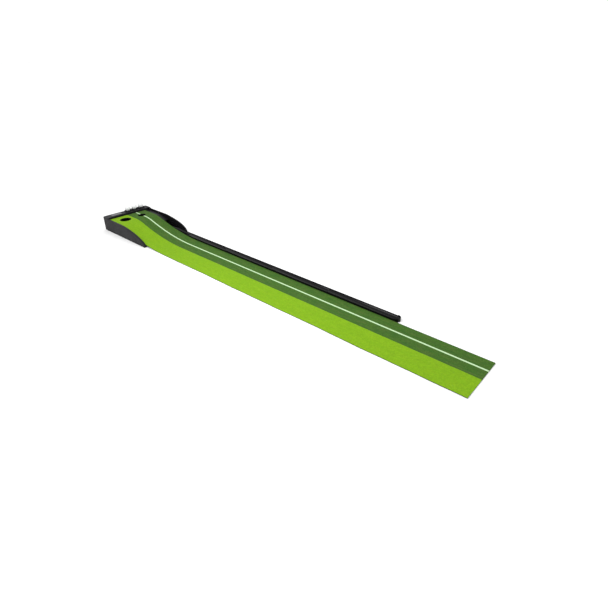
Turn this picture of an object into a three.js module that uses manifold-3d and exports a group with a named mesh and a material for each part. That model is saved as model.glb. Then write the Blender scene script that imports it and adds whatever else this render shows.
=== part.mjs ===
// Practice putting mat: a turf strip that runs down off a raised housing with two holes, a chute and
// an outlet channel inside the housing, and a return track on the floor beside the mat.
// Millimetres. While building, x runs from the rear face of the housing towards the player, y = 0 is
// the middle of the mat with +y on the return side, and z = 0 is the floor.
import * as THREE from "three";
import { mergeVertices } from "three/addons/utils/BufferGeometryUtils.js";
import Module from "manifold-3d";

const wasm = await Module();
wasm.setup();

// ---- driving dimensions -------------------------------------------------------------------------
const TOTAL_LENGTH = 3015;
const GAP = 0.3; // clearance between pieces that are put together
const SCREW_GAP = 0.15; // clearance of a screw in its hole, on the radius

const MAT = { width: 300, backing: 2.5, pile: 3.5 };
const AIM_LINE = { y: 71, width: 10 };
const LIGHT_EDGE = -4; // y where the light turf meets the dark turf

const RAMP = { height: 85, crestStart: 200, crestLength: 95, slope: 0.26, slopeLength: 65 };
const DECK = { thickness: 3, rib: 2.5, ledgeEnd: 340, skirtBottom: 12.5 };

const HOUSING = { length: 571, wall: 3, standoff: 2, nearMargin: 18 };
const RACK = { depth: 68, rise: 20, wall: 2.5, screwInset: 50 }; // the rise is above the deck
const PLATE = { from: -112, to: -32, margin: 16, thickness: 1.2 };
const CHEEK = { nearRim: 17, farRim: 10, cornerRadius: 17, noseReach: 6, easing: 18 };
const CHEEK_RISE = { near: 11, far: 13 }; // top of each cheek above the deck
const TAB = { depth: 10, height: 6, halfLength: 8, screw: 5 };
const BASE = { thickness: 2.5, corner: 20 };

// Each cheek's curve down to its nose: start, two handles and end, as shares of its length and height.
const NEAR_CURVE = [
  [0.4246, 1],
  [0.6672, 1],
  [0.9705, 0.5208],
  [1, 0.0938],
];
const FAR_CURVE = [
  [0.5459, 1],
  [0.7539, 0.8776],
  [0.9757, 0.7143],
  [1, 0.102],
];

const HOLE_X = 159;
const HOLES = {
  large: { y: -66, radius: 41, ring: 1.7 },
  small: { y: AIM_LINE.y, radius: 30, ring: 1.7 },
};

const BALL = { radius: 21.35, x: 23.5, inset: 56, pitch: 55.5, count: 3 }; // inset from the far face
const SEAT = { depth: 0.6, ridge: 8, halfWidth: 17, end: 27, slant: 4 };

const TRAY = { margin: 5, wall: 2.5, highZ: 38, lowZ: 24, sideHeight: 24, nearMargin: 11 };

const TROUGH = { width: 45, height: 18, rim: 1.5, radius: 26, thickness: 2.2, floor: 2.5 };
const CHANNEL = {
  lead: 6,
  frontGap: 3,
  endFloor: 3.5,
  startFloor: 20.5,
  foot: { inset: 1.5, width: 5, length: 14, overlap: 1.7 },
};
const TRACK = { end: 2495, sections: 4, stop: 28, stopHeight: 21, matGap: 0.7 };
const PEG = { length: 15, root: 8, width: 2.6, play: 0.4, low: 0.6, high: 5.8 };

const SCREW = { shank: 2, head: 3.6, headHeight: 1.6, length: 9.5 };
const FOOT = { radius: 12, inset: 28 };
const ABOVE_ALL = 200; // a height over everything, for cuts that go right through

// ---- values that follow from them ---------------------------------------------------------------
const matThickness = MAT.backing + MAT.pile;
const matHalf = MAT.width / 2;
const matRear = RACK.depth + 1.5;

const nearOuter = -matHalf - HOUSING.nearMargin;
const nearInner = nearOuter + HOUSING.wall;
const farInner = matHalf + TRACK.matGap + TROUGH.width + GAP; // the track just fits beside the mat
const farOuter = farInner + HOUSING.wall;

const baseTop = HOUSING.standoff + BASE.thickness;
const pieceFloor = baseTop + GAP; // underside of what stands on the base plate
const deckNearEdge = nearOuter + CHEEK.nearRim + 0.8;
const deckFarEdge = matHalf - 5;

const rackHeight = RAMP.height + RACK.rise;
const cheekNose = HOUSING.length + CHEEK.noseReach;
const trayReach = HOLES.large.radius + TRAY.margin;

// The channel runs along the far cheek, and the track carries on from its end on the same line.
const troughY = farInner - GAP - TROUGH.width / 2;
const channelStart = HOLE_X - trayReach - CHANNEL.lead;
const channelEnd = HOUSING.length - CHANNEL.frontGap;
const channelSlope = (CHANNEL.startFloor - CHANNEL.endFloor) / (channelEnd - channelStart);
const trackStart = HOUSING.length + 1;
const sectionLength = (TRACK.end - TRACK.stop - trackStart) / TRACK.sections;

// The ramp: a rounded crest, a straight slope and a long run-out that ends level on the floor.
const crestEnd = RAMP.crestStart + RAMP.crestLength;
const slopeEnd = crestEnd + RAMP.slopeLength;
const crestDrop = (RAMP.slope * RAMP.crestLength) / 2;
const runOutDrop = RAMP.height - crestDrop - RAMP.slope * RAMP.slopeLength;
const runOutLength = (2 * runOutDrop) / RAMP.slope;
const runOutEnd = slopeEnd + runOutLength;

// Height of the mat's underside, which is also the top of the deck.
function rampHeight(x) {
  if (x <= RAMP.crestStart) return RAMP.height;
  if (x <= crestEnd) {
    return RAMP.height - (RAMP.slope * (x - RAMP.crestStart) ** 2) / (2 * RAMP.crestLength);
  }
  if (x <= slopeEnd) return RAMP.height - crestDrop - RAMP.slope * (x - crestEnd);
  if (x <= runOutEnd) return (RAMP.slope / (2 * runOutLength)) * (runOutEnd - x) ** 2;
  return 0;
}

// The places along x where the ramp is sampled, the same ones for the deck and every mat layer.
function rampStations(from, to) {
  const crest = steps(RAMP.crestStart, crestEnd, 7);
  const runOut = steps(slopeEnd, runOutEnd, 16);
  const inside = [...crest, ...runOut].filter((x) => x > from && x < to);
  return [from, ...inside, to];
}

function steps(from, to, count) {
  return Array.from({ length: count + 1 }, (_, i) => from + ((to - from) * i) / count);
}

// ---- solids -------------------------------------------------------------------------------------
function toSolid(geometry) {
  const bare = geometry.clone();
  bare.deleteAttribute("normal");
  bare.deleteAttribute("uv");
  const merged = mergeVertices(bare, 1e-4);
  const vertProperties = merged.attributes.position.array;
  const triVerts = new Uint32Array(merged.index.array);
  return new wasm.Manifold(new wasm.Mesh({ numProp: 3, vertProperties, triVerts }));
}

function toGeometry(solid) {
  const mesh = solid.getMesh();
  const geometry = new THREE.BufferGeometry();
  geometry.setAttribute("position", new THREE.BufferAttribute(mesh.vertProperties, mesh.numProp));
  geometry.setIndex(new THREE.BufferAttribute(mesh.triVerts, 1));
  geometry.computeVertexNormals();
  return geometry;
}

function joined(...solids) {
  return solids.reduce((sum, solid) => sum.add(solid));
}

function extruded(points, depth) {
  const shape = new THREE.Shape(points.map(([a, b]) => new THREE.Vector2(a, b)));
  return new THREE.ExtrudeGeometry(shape, { depth, bevelEnabled: false });
}

// Outline in x and y, extruded up from z0 to z1.
function prismZ(points, z0, z1) {
  return toSolid(extruded(points, z1 - z0).translate(0, 0, z0));
}

// Outline in x and z, extruded across from y0 to y1.
function prismY(points, y0, y1) {
  return toSolid(extruded(points, y1 - y0).rotateX(Math.PI / 2).translate(0, y1, 0));
}

// Outline in y and z, extruded along from x0 to x1.
function prismX(points, x0, x1) {
  const turn = new THREE.Matrix4().makeBasis(
    new THREE.Vector3(0, 1, 0),
    new THREE.Vector3(0, 0, 1),
    new THREE.Vector3(1, 0, 0),
  );
  return toSolid(extruded(points, x1 - x0).applyMatrix4(turn).translate(x0, 0, 0));
}

function block([x0, x1], [y0, y1], [z0, z1]) {
  const box = new THREE.BoxGeometry(x1 - x0, y1 - y0, z1 - z0);
  return toSolid(box.translate((x0 + x1) / 2, (y0 + y1) / 2, (z0 + z1) / 2));
}

function pillar(x, y, radius, z0, z1, sides = 32) {
  const cylinder = new THREE.CylinderGeometry(radius, radius, z1 - z0, sides).rotateX(Math.PI / 2);
  return toSolid(cylinder.translate(x, y, (z0 + z1) / 2));
}

function ball(x, y, z, radius, around = 28, down = 16) {
  return toSolid(new THREE.SphereGeometry(radius, around, down).translate(x, y, z));
}

// A strip that follows the ramp, between two heights measured from the mat's underside.
function rampStrip(x0, x1, y0, y1, low, high) {
  const stations = rampStations(x0, x1);
  const upper = stations.map((x) => [x, rampHeight(x) + high]);
  const lower = stations.map((x) => [x, rampHeight(x) + low]).reverse();
  return prismY([...upper, ...lower], y0, y1);
}

// A wall under the deck, from a level bottom up to the deck's underside.
function wallUnderDeck(x0, x1, y0, y1, bottom) {
  const top = rampStations(x0, x1).map((x) => [x, rampHeight(x) - DECK.thickness / 2]);
  return prismY([...top, [x1, bottom], [x0, bottom]], y0, y1);
}

// ---- materials ----------------------------------------------------------------------------------
const finish = (color, roughness, metalness = 0) =>
  new THREE.MeshStandardMaterial({ color, roughness, metalness });
const housingPlastic = finish(0x2b2b2e, 0.55);
const trackPlastic = finish(0x1b1b1e, 0.28);
const innerPlastic = finish(0x17181a, 0.6);
const plateFinish = finish(0x8b8c8f, 0.4);
const lightTurf = finish(0x8fc41f, 0.95);
const darkTurf = finish(0x3f7d24, 0.95);
const lineTurf = finish(0xdcefd2, 0.95);
const backingRubber = finish(0x232a1d, 0.9);
const ballCover = finish(0xf4f4f2, 0.25);
const footRubber = finish(0x111111, 0.9);
const screwSteel = finish(0x9a9da1, 0.35, 1);

const puttingMat = new THREE.Group();
const ballReturn = new THREE.Group(); // built about its own centre line
ballReturn.position.set(0, troughY, 0);
puttingMat.add(ballReturn);

function place(name, solid, material, group = puttingMat) {
  const mesh = new THREE.Mesh(toGeometry(solid), material);
  mesh.name = name;
  group.add(mesh);
  return mesh;
}

// ---- mat ----------------------------------------------------------------------------------------
function cutHoles(solid) {
  return Object.values(HOLES).reduce(
    (rest, hole) => rest.subtract(pillar(HOLE_X, hole.y, hole.radius, 0, ABOVE_ALL, 48)),
    solid,
  );
}

function makeMat() {
  const layer = (y0, y1, low, high) => {
    return cutHoles(rampStrip(matRear, TOTAL_LENGTH, y0, y1, low, high));
  };
  const lineNear = AIM_LINE.y - AIM_LINE.width / 2;
  const lineFar = AIM_LINE.y + AIM_LINE.width / 2;
  place("mat_backing", layer(-matHalf, matHalf, 0, MAT.backing), backingRubber);
  place("turf_light", layer(-matHalf, LIGHT_EDGE, MAT.backing, matThickness), lightTurf);
  place("turf_dark_inner", layer(LIGHT_EDGE, lineNear, MAT.backing, matThickness), darkTurf);
  place("turf_dark_outer", layer(lineFar, matHalf, MAT.backing, matThickness), darkTurf);
  const line = layer(lineNear, lineFar, MAT.backing, matThickness).decompose();
  const byStart = line.sort((a, b) => a.boundingBox().min[0] - b.boundingBox().min[0]);
  place("aim_line_rear", byStart[0], lineTurf);
  place("aim_line", byStart[1], lineTurf);
}

// ---- housing ------------------------------------------------------------------------------------
function makeDeck() {
  const [x0, x1] = [RACK.depth + GAP, HOUSING.length];
  const margin = 0.7; // the ledge stays clear of the far cheek
  const plan = [
    [x0, deckNearEdge],
    [x1, deckNearEdge],
    [x1, deckFarEdge],
    [DECK.ledgeEnd, deckFarEdge],
    [DECK.ledgeEnd, farInner - margin],
    [x0, farInner - margin],
  ];
  const panel = rampStrip(x0, x1, deckNearEdge, farInner, -DECK.thickness, 0).intersect(
    prismZ(plan, 0, ABOVE_ALL),
  );
  const skirtEnd = runOutEnd - Math.sqrt(
    ((DECK.skirtBottom + DECK.thickness + 1) * 2 * runOutLength) / RAMP.slope,
  );
  const nearSkirt = wallUnderDeck(x0, skirtEnd, deckNearEdge, deckNearEdge + DECK.rib, DECK.skirtBottom);
  const skirtStart = DECK.ledgeEnd + 20;
  const farSkirt = wallUnderDeck(skirtStart, x1, deckFarEdge - DECK.rib, deckFarEdge, pieceFloor);
  const frontLip = wallUnderDeck(x1 - DECK.rib, x1, deckNearEdge, deckFarEdge, pieceFloor);
  const ribs = [x0 + 8.7, HOLE_X + trayReach + 25, HOUSING.length - 156].map((x) =>
    wallUnderDeck(x, x + DECK.rib, deckNearEdge + 1, deckFarEdge - 5, pieceFloor),
  );
  place("ramp_deck", cutHoles(joined(panel, nearSkirt, farSkirt, frontLip, ...ribs)), housingPlastic);
}

function makeCupRings() {
  for (const [size, hole] of Object.entries(HOLES)) {
    const outer = hole.radius - GAP;
    const [bottom, top] = [RAMP.height - DECK.thickness - 1, RAMP.height + matThickness - 1];
    const sleeve = pillar(HOLE_X, hole.y, outer, bottom, top, 48);
    const bore = pillar(HOLE_X, hole.y, outer - hole.ring, bottom - 1, top + 1, 48);
    place(`cup_ring_${size}`, sleeve.subtract(bore), innerPlastic);
  }
}

// A cheek in plan, width deep from outside: a rounded rear corner, then straight sides to the front.
function cheekPlan(outer, side, width, front = cheekNose) {
  const r = CHEEK.cornerRadius;
  const arc = (radius, count) =>
    steps(0, Math.PI / 2, count).map((a) => [
      r - radius * Math.cos(a),
      outer + side * (r - radius * Math.sin(a)),
    ]);
  const outside = arc(r, 6);
  const inner = outer + side * width;
  const inside = width < r ? arc(r - width, 6).reverse() : [[0, inner]];
  return [...outside, [front, outer], [front, inner], ...inside];
}

// Side outline of a cheek: rear edge, level top, then a curve down to the blunt nose.
function cheekSide(top, curve, lowered = 0) {
  const [start, handleA, handleB, end] = curve.map(
    ([along, up]) => new THREE.Vector2(along * cheekNose, up * top),
  );
  const nose = new THREE.CubicBezierCurve(start, handleA, handleB, end).getPoints(14);
  const step = [
    [0, rackHeight],
    [RACK.depth, rackHeight],
    [RACK.depth + CHEEK.easing, top],
  ];
  const outline = [
    [0, HOUSING.standoff],
    ...step,
    ...nose.map((p) => [p.x, p.y]),
    [end.x, HOUSING.standoff],
  ];
  return outline.map(([x, z]) => [x - lowered, z - lowered]);
}

// A thin side skin with a wider rim along its top, which reaches the rack at its rear. The rim starts
// at the given height.
function cheekSolid(outer, side, top, curve, rim, rimBottom) {
  const reach = [outer - 2 * CHEEK.cornerRadius, outer + 2 * CHEEK.cornerRadius];
  const skin = prismZ(cheekPlan(outer, side, HOUSING.wall), 0, ABOVE_ALL);
  const wide = joined(
    prismZ(cheekPlan(outer, side, rim), rimBottom, ABOVE_ALL),
    prismZ(cheekPlan(outer, side, CHEEK.cornerRadius, RACK.depth), rimBottom, ABOVE_ALL),
  );
  const body = prismY(cheekSide(top, curve), ...reach);
  const hollow = prismY(cheekSide(top, curve, HOUSING.wall), ...reach);
  return joined(skin.intersect(body), wide.intersect(body).subtract(hollow));
}

// Inward tab at a cheek's foot, one for each screw that holds the cheek to the base plate.
function screwTab(x, wallY, side) {
  const ys = [wallY - side, wallY + side * TAB.depth].sort((a, b) => a - b);
  return block([x - TAB.halfLength, x + TAB.halfLength], ys, [pieceFloor, pieceFloor + TAB.height]);
}

const rearScrewX = RACK.depth + 22;
const nearScrews = [rearScrewX + 5, 255, HOUSING.length - 136].map((x) => [x, nearInner + TAB.screw]);
const farScrewFront = channelStart + 0.484 * (channelEnd - channelStart); // where the channel clears it
const farScrews = [rearScrewX, 220, farScrewFront].map((x) => [x, farInner - TAB.screw]);
const rackScrews = [-1, 1].map((side) => {
  return [RACK.depth - RACK.wall - 4, side * (matHalf - RACK.screwInset)];
});

function drilled(solid, screws, top) {
  return screws.reduce(
    (rest, [x, y]) => rest.subtract(pillar(x, y, SCREW.shank + SCREW_GAP, 0, top, 16)),
    solid,
  );
}

function makeCheeks() {
  const nearTop = RAMP.height + CHEEK_RISE.near;
  const near = cheekSolid(nearOuter, 1, nearTop, NEAR_CURVE, CHEEK.nearRim, 0);
  const nearTabs = nearScrews.map(([x]) => screwTab(x, nearInner, 1));
  place("near_cheek", drilled(joined(near, ...nearTabs), nearScrews, 40), housingPlastic);

  const farTop = RAMP.height + CHEEK_RISE.far;
  const ballTop = CHANNEL.endFloor + 2 * BALL.radius; // the rim stays above the balls rolling past it
  const far = cheekSolid(farOuter, -1, farTop, FAR_CURVE, CHEEK.farRim, ballTop);
  const farTabs = farScrews.map(([x]) => screwTab(x, farInner, -1));
  place("far_cheek", drilled(joined(far, ...farTabs), farScrews, 40), housingPlastic);
}

const ballCentres = Array.from({ length: BALL.count }, (_, i) => {
  const y = farOuter - BALL.inset - (BALL.count - 1 - i) * BALL.pitch;
  return [BALL.x, y, rackHeight - SEAT.depth + BALL.radius + GAP];
});

// The ridge that the balls sit in: a bar along the rack with a round scoop for each ball.
function ballRidge() {
  const low = rackHeight - RACK.wall / 2;
  const high = rackHeight + SEAT.ridge;
  const outline = [
    [BALL.x - SEAT.halfWidth, low],
    [BALL.x + SEAT.halfWidth, low],
    [BALL.x + SEAT.halfWidth - SEAT.slant, high],
    [BALL.x - SEAT.halfWidth + SEAT.slant, high],
  ];
  const [first, last] = [ballCentres[0][1], ballCentres[BALL.count - 1][1]];
  return prismY(outline, first - SEAT.end, last + SEAT.end);
}

function makeRack() {
  const inset = CHEEK.cornerRadius + GAP;
  const ys = [nearOuter + inset, farOuter - inset];
  const wall = RACK.wall;
  const shell = block([0, RACK.depth], ys, [pieceFloor, rackHeight]).subtract(
    block([wall, RACK.depth - wall], [ys[0] + wall, ys[1] - wall], [0, rackHeight - wall]),
  );
  const bosses = rackScrews.map(([x, y]) => pillar(x, y, 4.6, pieceFloor, rackHeight - 1, 20));
  const scoops = ballCentres.map((centre) => ball(...centre, BALL.radius + GAP));
  const solid = scoops.reduce(
    (rest, scoop) => rest.subtract(scoop),
    joined(shell, ballRidge(), ...bosses),
  );
  place("ball_rack", drilled(solid, rackScrews, 30), housingPlastic);

  const plateX = [PLATE.margin, RACK.depth - PLATE.margin];
  const plateZ = [rackHeight, rackHeight + PLATE.thickness];
  place("rack_plate", block(plateX, [PLATE.from, PLATE.to], plateZ), plateFinish);
}

function makeBalls() {
  ballCentres.forEach((centre, i) => {
    place(`ball_${i + 1}`, ball(...centre, BALL.radius), ballCover);
  });
}

function makeBasePlate() {
  const [near, far] = [nearInner + GAP, farInner - GAP];
  const rear = HOUSING.wall + GAP;
  const corner = BASE.corner;
  const front = HOUSING.length - 1;
  const step = DECK.ledgeEnd + 10;
  const plan = [
    [rear, near + corner],
    [corner, near],
    [front, near],
    [front, deckFarEdge],
    [step, deckFarEdge],
    [step, far],
    [corner, far],
    [rear, far - corner],
  ];
  const plate = prismZ(plan, HOUSING.standoff, baseTop);
  const holes = [...nearScrews, ...rackScrews, ...farScrews];
  place("base_plate", drilled(plate, holes, 20), innerPlastic);
}

function makeFeet() {
  const places = [
    [FOOT.inset, nearInner + FOOT.inset],
    [FOOT.inset, farInner - FOOT.inset],
    [HOUSING.length - FOOT.inset, nearInner + FOOT.inset],
    [HOUSING.length - FOOT.inset, deckFarEdge - FOOT.inset],
  ];
  places.forEach(([x, y], i) => {
    place(`foot_${i + 1}`, pillar(x, y, FOOT.radius, 0, HOUSING.standoff, 28), footRubber);
  });
}

function makeScrews() {
  const screw = (x, y) => {
    const under = HOUSING.standoff;
    const head = pillar(x, y, SCREW.head, under - SCREW.headHeight, under, 20);
    const shank = pillar(x, y, SCREW.shank, under - 0.5, under + SCREW.length - SCREW.shank, 14);
    const tip = new THREE.ConeGeometry(SCREW.shank, SCREW.shank, 14).rotateX(Math.PI / 2);
    const tipZ = under + SCREW.length - SCREW.shank / 2;
    return joined(head, shank, toSolid(tip.translate(x, y, tipZ)));
  };
  for (const [row, places] of Object.entries({ near: nearScrews, rack: rackScrews, far: farScrews })) {
    places.forEach(([x, y], i) => place(`screw_${row}_${i + 1}`, screw(x, y), screwSteel));
  }
}

// ---- ball return --------------------------------------------------------------------------------
function makeChute() {
  const [x0, x1] = [HOLE_X - trayReach, HOLE_X + trayReach];
  const nearY = HOLES.large.y - HOLES.large.radius - TRAY.nearMargin;
  const farY = troughY - TROUGH.width / 2 - 2 * GAP;
  const fall = (TRAY.highZ - TRAY.lowZ) / (farY - nearY);
  const floorAt = (y) => TRAY.highZ - fall * (y - nearY);
  const strip = (low, high) => [
    [nearY, low(nearY)],
    [farY, low(farY)],
    [farY, high(farY)],
    [nearY, high(nearY)],
  ];
  const floor = prismX(strip((y) => floorAt(y) - TRAY.wall, floorAt), x0, x1);
  const side = strip(() => pieceFloor, (y) => floorAt(y) + TRAY.sideHeight);
  const sides = [
    prismX(side, x0, x0 + TRAY.wall),
    prismX(side, x1 - TRAY.wall, x1),
  ];
  const endWall = block(
    [x0, x1],
    [nearY, nearY + TRAY.wall],
    [pieceFloor, TRAY.highZ + TRAY.sideHeight],
  );
  place("ball_chute", joined(floor, ...sides, endWall), innerPlastic);
}

// An arc of the trough's section from one side to the other, between the two half widths.
function troughArc(radius, halfWidth, count) {
  const centre = TROUGH.floor + TROUGH.radius;
  const limit = Math.asin(halfWidth / radius);
  return steps(-limit, limit, count).map((a) => [radius * Math.sin(a), centre - radius * Math.cos(a)]);
}

// The trough's section: an arc that the ball rolls on, upright rims, and skirts that may reach down.
function troughSection(skirtBottom) {
  const half = TROUGH.width / 2;
  const inner = half - TROUGH.rim;
  const top = troughArc(TROUGH.radius, inner, 10);
  const under = troughArc(TROUGH.radius + TROUGH.thickness, inner, 10).reverse();
  return [
    [-half, skirtBottom],
    [-half, TROUGH.height],
    [-inner, TROUGH.height],
    ...top,
    [inner, TROUGH.height],
    [half, TROUGH.height],
    [half, skirtBottom],
    [inner, skirtBottom],
    ...under,
    [-inner, skirtBottom],
  ];
}

function makeOutletChannel() {
  const length = channelEnd - channelStart;
  const half = TROUGH.width / 2;
  const skirt = troughArc(TROUGH.radius + TROUGH.thickness, half - TROUGH.rim, 2)[0][1] - 1;
  const rise = CHANNEL.endFloor - TROUGH.floor;
  const trough = prismX(troughSection(skirt), -length, 0)
    .rotate([0, (Math.atan(channelSlope) * 180) / Math.PI, 0])
    .translate([channelEnd, 0, rise]);
  const legs = [channelStart + 20, DECK.ledgeEnd - 35, channelEnd - 138].map((x) => {
    const under = CHANNEL.endFloor - TROUGH.thickness + (channelEnd - x) * channelSlope;
    const bottom = x > DECK.ledgeEnd ? 0 : pieceFloor;
    return block([x, x + 3], [-5, 5], [bottom, under + 1.2]);
  });
  const notchX = [HOLE_X - trayReach - 1, HOLE_X + trayReach + 1];
  const notch = block(notchX, [-half - 5, -half / 2], [TRAY.lowZ - 1.5, ABOVE_ALL]);
  const foot = CHANNEL.foot;
  const [footInner, footOuter] = [half - foot.inset - foot.width, half - foot.inset];
  const footTop = troughArc(TROUGH.radius + TROUGH.thickness, footInner, 2)[0][1] + rise + foot.overlap;
  const feet = [-1, 1].map((side) => {
    const across = [side * footInner, side * footOuter].sort((a, b) => a - b);
    return block([channelEnd - foot.length, channelEnd], across, [0, footTop]);
  });
  const solid = joined(trough, ...legs, ...feet, ...trackPegs(channelEnd)).subtract(notch);
  place("outlet_channel", solid, trackPlastic, ballReturn);
}

// Two pegs under the front end of a section, which plug into the hollow sides of the next one.
function trackPegs(frontX) {
  const inner = TROUGH.width / 2 - TROUGH.rim;
  return [-1, 1].map((side) => {
    const across = (outside) => {
      return [side * (inner - PEG.play - PEG.width), side * outside].sort((a, b) => a - b);
    };
    const heights = [PEG.low, PEG.high];
    const free = block([frontX - 1, frontX + PEG.length], across(inner - PEG.play), heights);
    const root = block([frontX - PEG.root, frontX], across(inner + 0.2), heights);
    return joined(free, root);
  });
}

function makeTrack() {
  const section = troughSection(0);
  for (let i = 0; i < TRACK.sections; i++) {
    const x0 = trackStart + i * sectionLength + (i ? GAP : 0);
    const x1 = trackStart + (i + 1) * sectionLength;
    const solid = joined(prismX(section, x0, x1), ...trackPegs(x1));
    place(`track_section_${i + 1}`, solid, trackPlastic, ballReturn);
  }
}

// The stop closes the track with a round end, hollowed so that the ball comes to rest against it.
function makeEndStop() {
  const half = TROUGH.width / 2;
  const inner = half - TROUGH.rim;
  const x0 = TRACK.end - TRACK.stop + GAP;
  const centreX = TRACK.end - half;
  const round = steps(-Math.PI / 2, Math.PI / 2, 16).map((a) => [
    centreX + half * Math.cos(a),
    half * Math.sin(a),
  ]);
  const outer = prismZ([[x0, -half], ...round, [x0, half]], 0, TRACK.stopHeight);
  const channel = [[-inner, 60], ...troughArc(TROUGH.radius, inner, 10), [inner, 60]];
  const way = prismX(channel, x0 - 1, centreX);
  const pocket = new THREE.LatheGeometry(
    [
      new THREE.Vector2(0, TROUGH.floor),
      new THREE.Vector2(inner * 0.5, TROUGH.floor + 2.6),
      new THREE.Vector2(inner * 0.85, TROUGH.floor + 7),
      new THREE.Vector2(inner, TROUGH.floor + 12),
      new THREE.Vector2(inner, 60),
      new THREE.Vector2(0, 60),
    ],
    32,
  );
  const rest = toSolid(pocket.rotateX(Math.PI / 2)).translate([centreX, 0, 0]);
  const sockets = trackPegs(x0 - GAP).map((peg) => {
    const { min, max } = peg.boundingBox();
    return block(
      [x0 - 1, max[0] + PEG.play],
      [min[1] - PEG.play, max[1] + PEG.play],
      [-1, max[2] + PEG.play],
    );
  });
  const stop = [way, rest, ...sockets].reduce((left, cut) => left.subtract(cut), outer);
  place("track_end_stop", stop, trackPlastic, ballReturn);
}

makeMat();
makeDeck();
makeCupRings();
makeCheeks();
makeRack();
makeBalls();
makeBasePlate();
makeFeet();
makeScrews();
makeChute();
makeOutletChannel();
makeTrack();
makeEndStop();

// The part's own frame has its origin on the floor in the middle of the whole object.
puttingMat.position.set(-TOTAL_LENGTH / 2, -(nearOuter + farOuter) / 2, 0);

export default puttingMat;
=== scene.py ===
"""A practice putting mat with a raised housing and a ball return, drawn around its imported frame.

Lengths are metres in the frame's own axes: +X from the housing towards the player, +Y across the mat
towards the return track, and +Z up from the floor.
"""
from __future__ import annotations

import logging
import math
from dataclasses import dataclass
from enum import Enum

import bmesh
import bpy
import numpy as np
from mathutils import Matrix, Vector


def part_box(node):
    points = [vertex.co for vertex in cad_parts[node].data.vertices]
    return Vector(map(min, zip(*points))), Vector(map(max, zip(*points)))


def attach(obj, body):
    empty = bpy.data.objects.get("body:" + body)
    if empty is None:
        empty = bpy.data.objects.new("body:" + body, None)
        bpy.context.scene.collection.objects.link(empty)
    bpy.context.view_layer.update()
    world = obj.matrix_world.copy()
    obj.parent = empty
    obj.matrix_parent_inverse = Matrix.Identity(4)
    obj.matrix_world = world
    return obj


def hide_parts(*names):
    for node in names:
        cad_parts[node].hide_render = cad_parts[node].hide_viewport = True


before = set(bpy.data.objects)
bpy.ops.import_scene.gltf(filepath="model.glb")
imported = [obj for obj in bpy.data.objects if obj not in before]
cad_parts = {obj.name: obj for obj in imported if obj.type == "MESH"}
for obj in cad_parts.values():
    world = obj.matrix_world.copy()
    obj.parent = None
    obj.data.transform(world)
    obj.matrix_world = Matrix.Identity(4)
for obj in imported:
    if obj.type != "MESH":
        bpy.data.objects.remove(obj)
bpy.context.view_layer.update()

Array = np.ndarray
Colour = tuple[float, float, float]
Curve = tuple[tuple[float, float], ...]
Socket = bpy.types.NodeSocket
NodeTree = bpy.types.NodeTree
Material = bpy.types.Material
Object = bpy.types.Object

MM = 0.001
FIT_GAP = 0.3 * MM  # clearance between pieces that are put together
WELD_DISTANCE = 1e-6  # points nearer than this are one point
FLAT_ANGLE = math.radians(0.4)  # faces that meet at less than this are one face
SLEEVES = ("large", "small")  # the two holes' sleeves, by size
MASK = "mask"  # the point attribute that a finish reads
log = logging.getLogger("putting_mat")


# ---- surfaces -----------------------------------------------------------------------------------
class Axis(Enum):
    """The axis an outline is carried along; the value says where its two numbers and the length go."""

    X = (1, 2, 0)
    Y = (0, 2, 1)
    Z = (0, 1, 2)

    def place(self, outline: Array, along: float) -> Array:
        """Puts an outline of (a, b) pairs into space.

        Args:
            outline: Points of the outline, one (a, b) pair a row.
            along: Place on this axis.

        Returns:
            The points as (x, y, z) rows.
        """
        points = np.empty((len(outline), 3))
        first, second, third = self.value
        points[:, first] = outline[:, 0]
        points[:, second] = outline[:, 1]
        points[:, third] = along
        return points


@dataclass
class Surface:
    """A closed surface: its points, its faces in blocks of equal corner count, and a mask for its finish.

    The mask is one number from 0 to 1 at each point, such as the height of a tuft.
    """

    points: Array
    faces: list[Array]
    mask: Array | float = 0.0

    def volume(self) -> float:
        """Signed volume, from the tetrahedra between the origin and a fan over each face."""
        total = 0.0
        for block in self.faces:
            corners = self.points[block]
            for step in range(1, block.shape[1] - 1):
                across = np.cross(corners[:, step], corners[:, step + 1])
                total += float((corners[:, 0] * across).sum()) / 6
        return total

    def outward(self) -> "Surface":
        """The same surface with its faces turned to point out of it."""
        if self.volume() >= 0:
            return self
        return Surface(self.points, [block[:, ::-1] for block in self.faces], self.mask)

    def __add__(self, other: "Surface") -> "Surface":
        """Both surfaces as one, each turned outwards first."""
        one, two = self.outward(), other.outward()
        shift = len(one.points)
        mask = np.concatenate([np.broadcast_to(part.mask, len(part.points)) for part in (one, two)])
        faces = one.faces + [block + shift for block in two.faces]
        return Surface(np.vstack([one.points, two.points]), faces, mask)


@dataclass(frozen=True)
class Circle:
    """A round thing or hole that stands upright: its centre and radius in plan."""

    x: float
    y: float
    radius: float

    @classmethod
    def of(cls, node: str, gap: float = 0.0) -> "Circle":
        """The circle in plan of a CAD node that is round about an upright axis, made wider by a gap."""
        low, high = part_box(node)
        return cls((low[0] + high[0]) / 2, (low[1] + high[1]) / 2, (high[0] - low[0]) / 2 + gap)

    def distance(self, plan: Array) -> Array:
        """Distance of each plan point from the centre."""
        return np.hypot(plan[:, 0] - self.x, plan[:, 1] - self.y)


def lattice(rows: int, columns: int, wrap: bool) -> Array:
    """Four-cornered faces between neighbouring rows of points.

    Args:
        rows: Number of rows.
        columns: Points in a row.
        wrap: Whether the last point of a row is joined to its first.

    Returns:
        The faces, one row of four point numbers each.
    """
    index = np.arange(rows * columns).reshape(rows, columns)
    left = index if wrap else index[:, :-1]
    right = np.roll(index, -1, axis=1) if wrap else index[:, 1:]
    return np.stack([left[:-1], left[1:], right[1:], right[:-1]], axis=-1).reshape(-1, 4)


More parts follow.
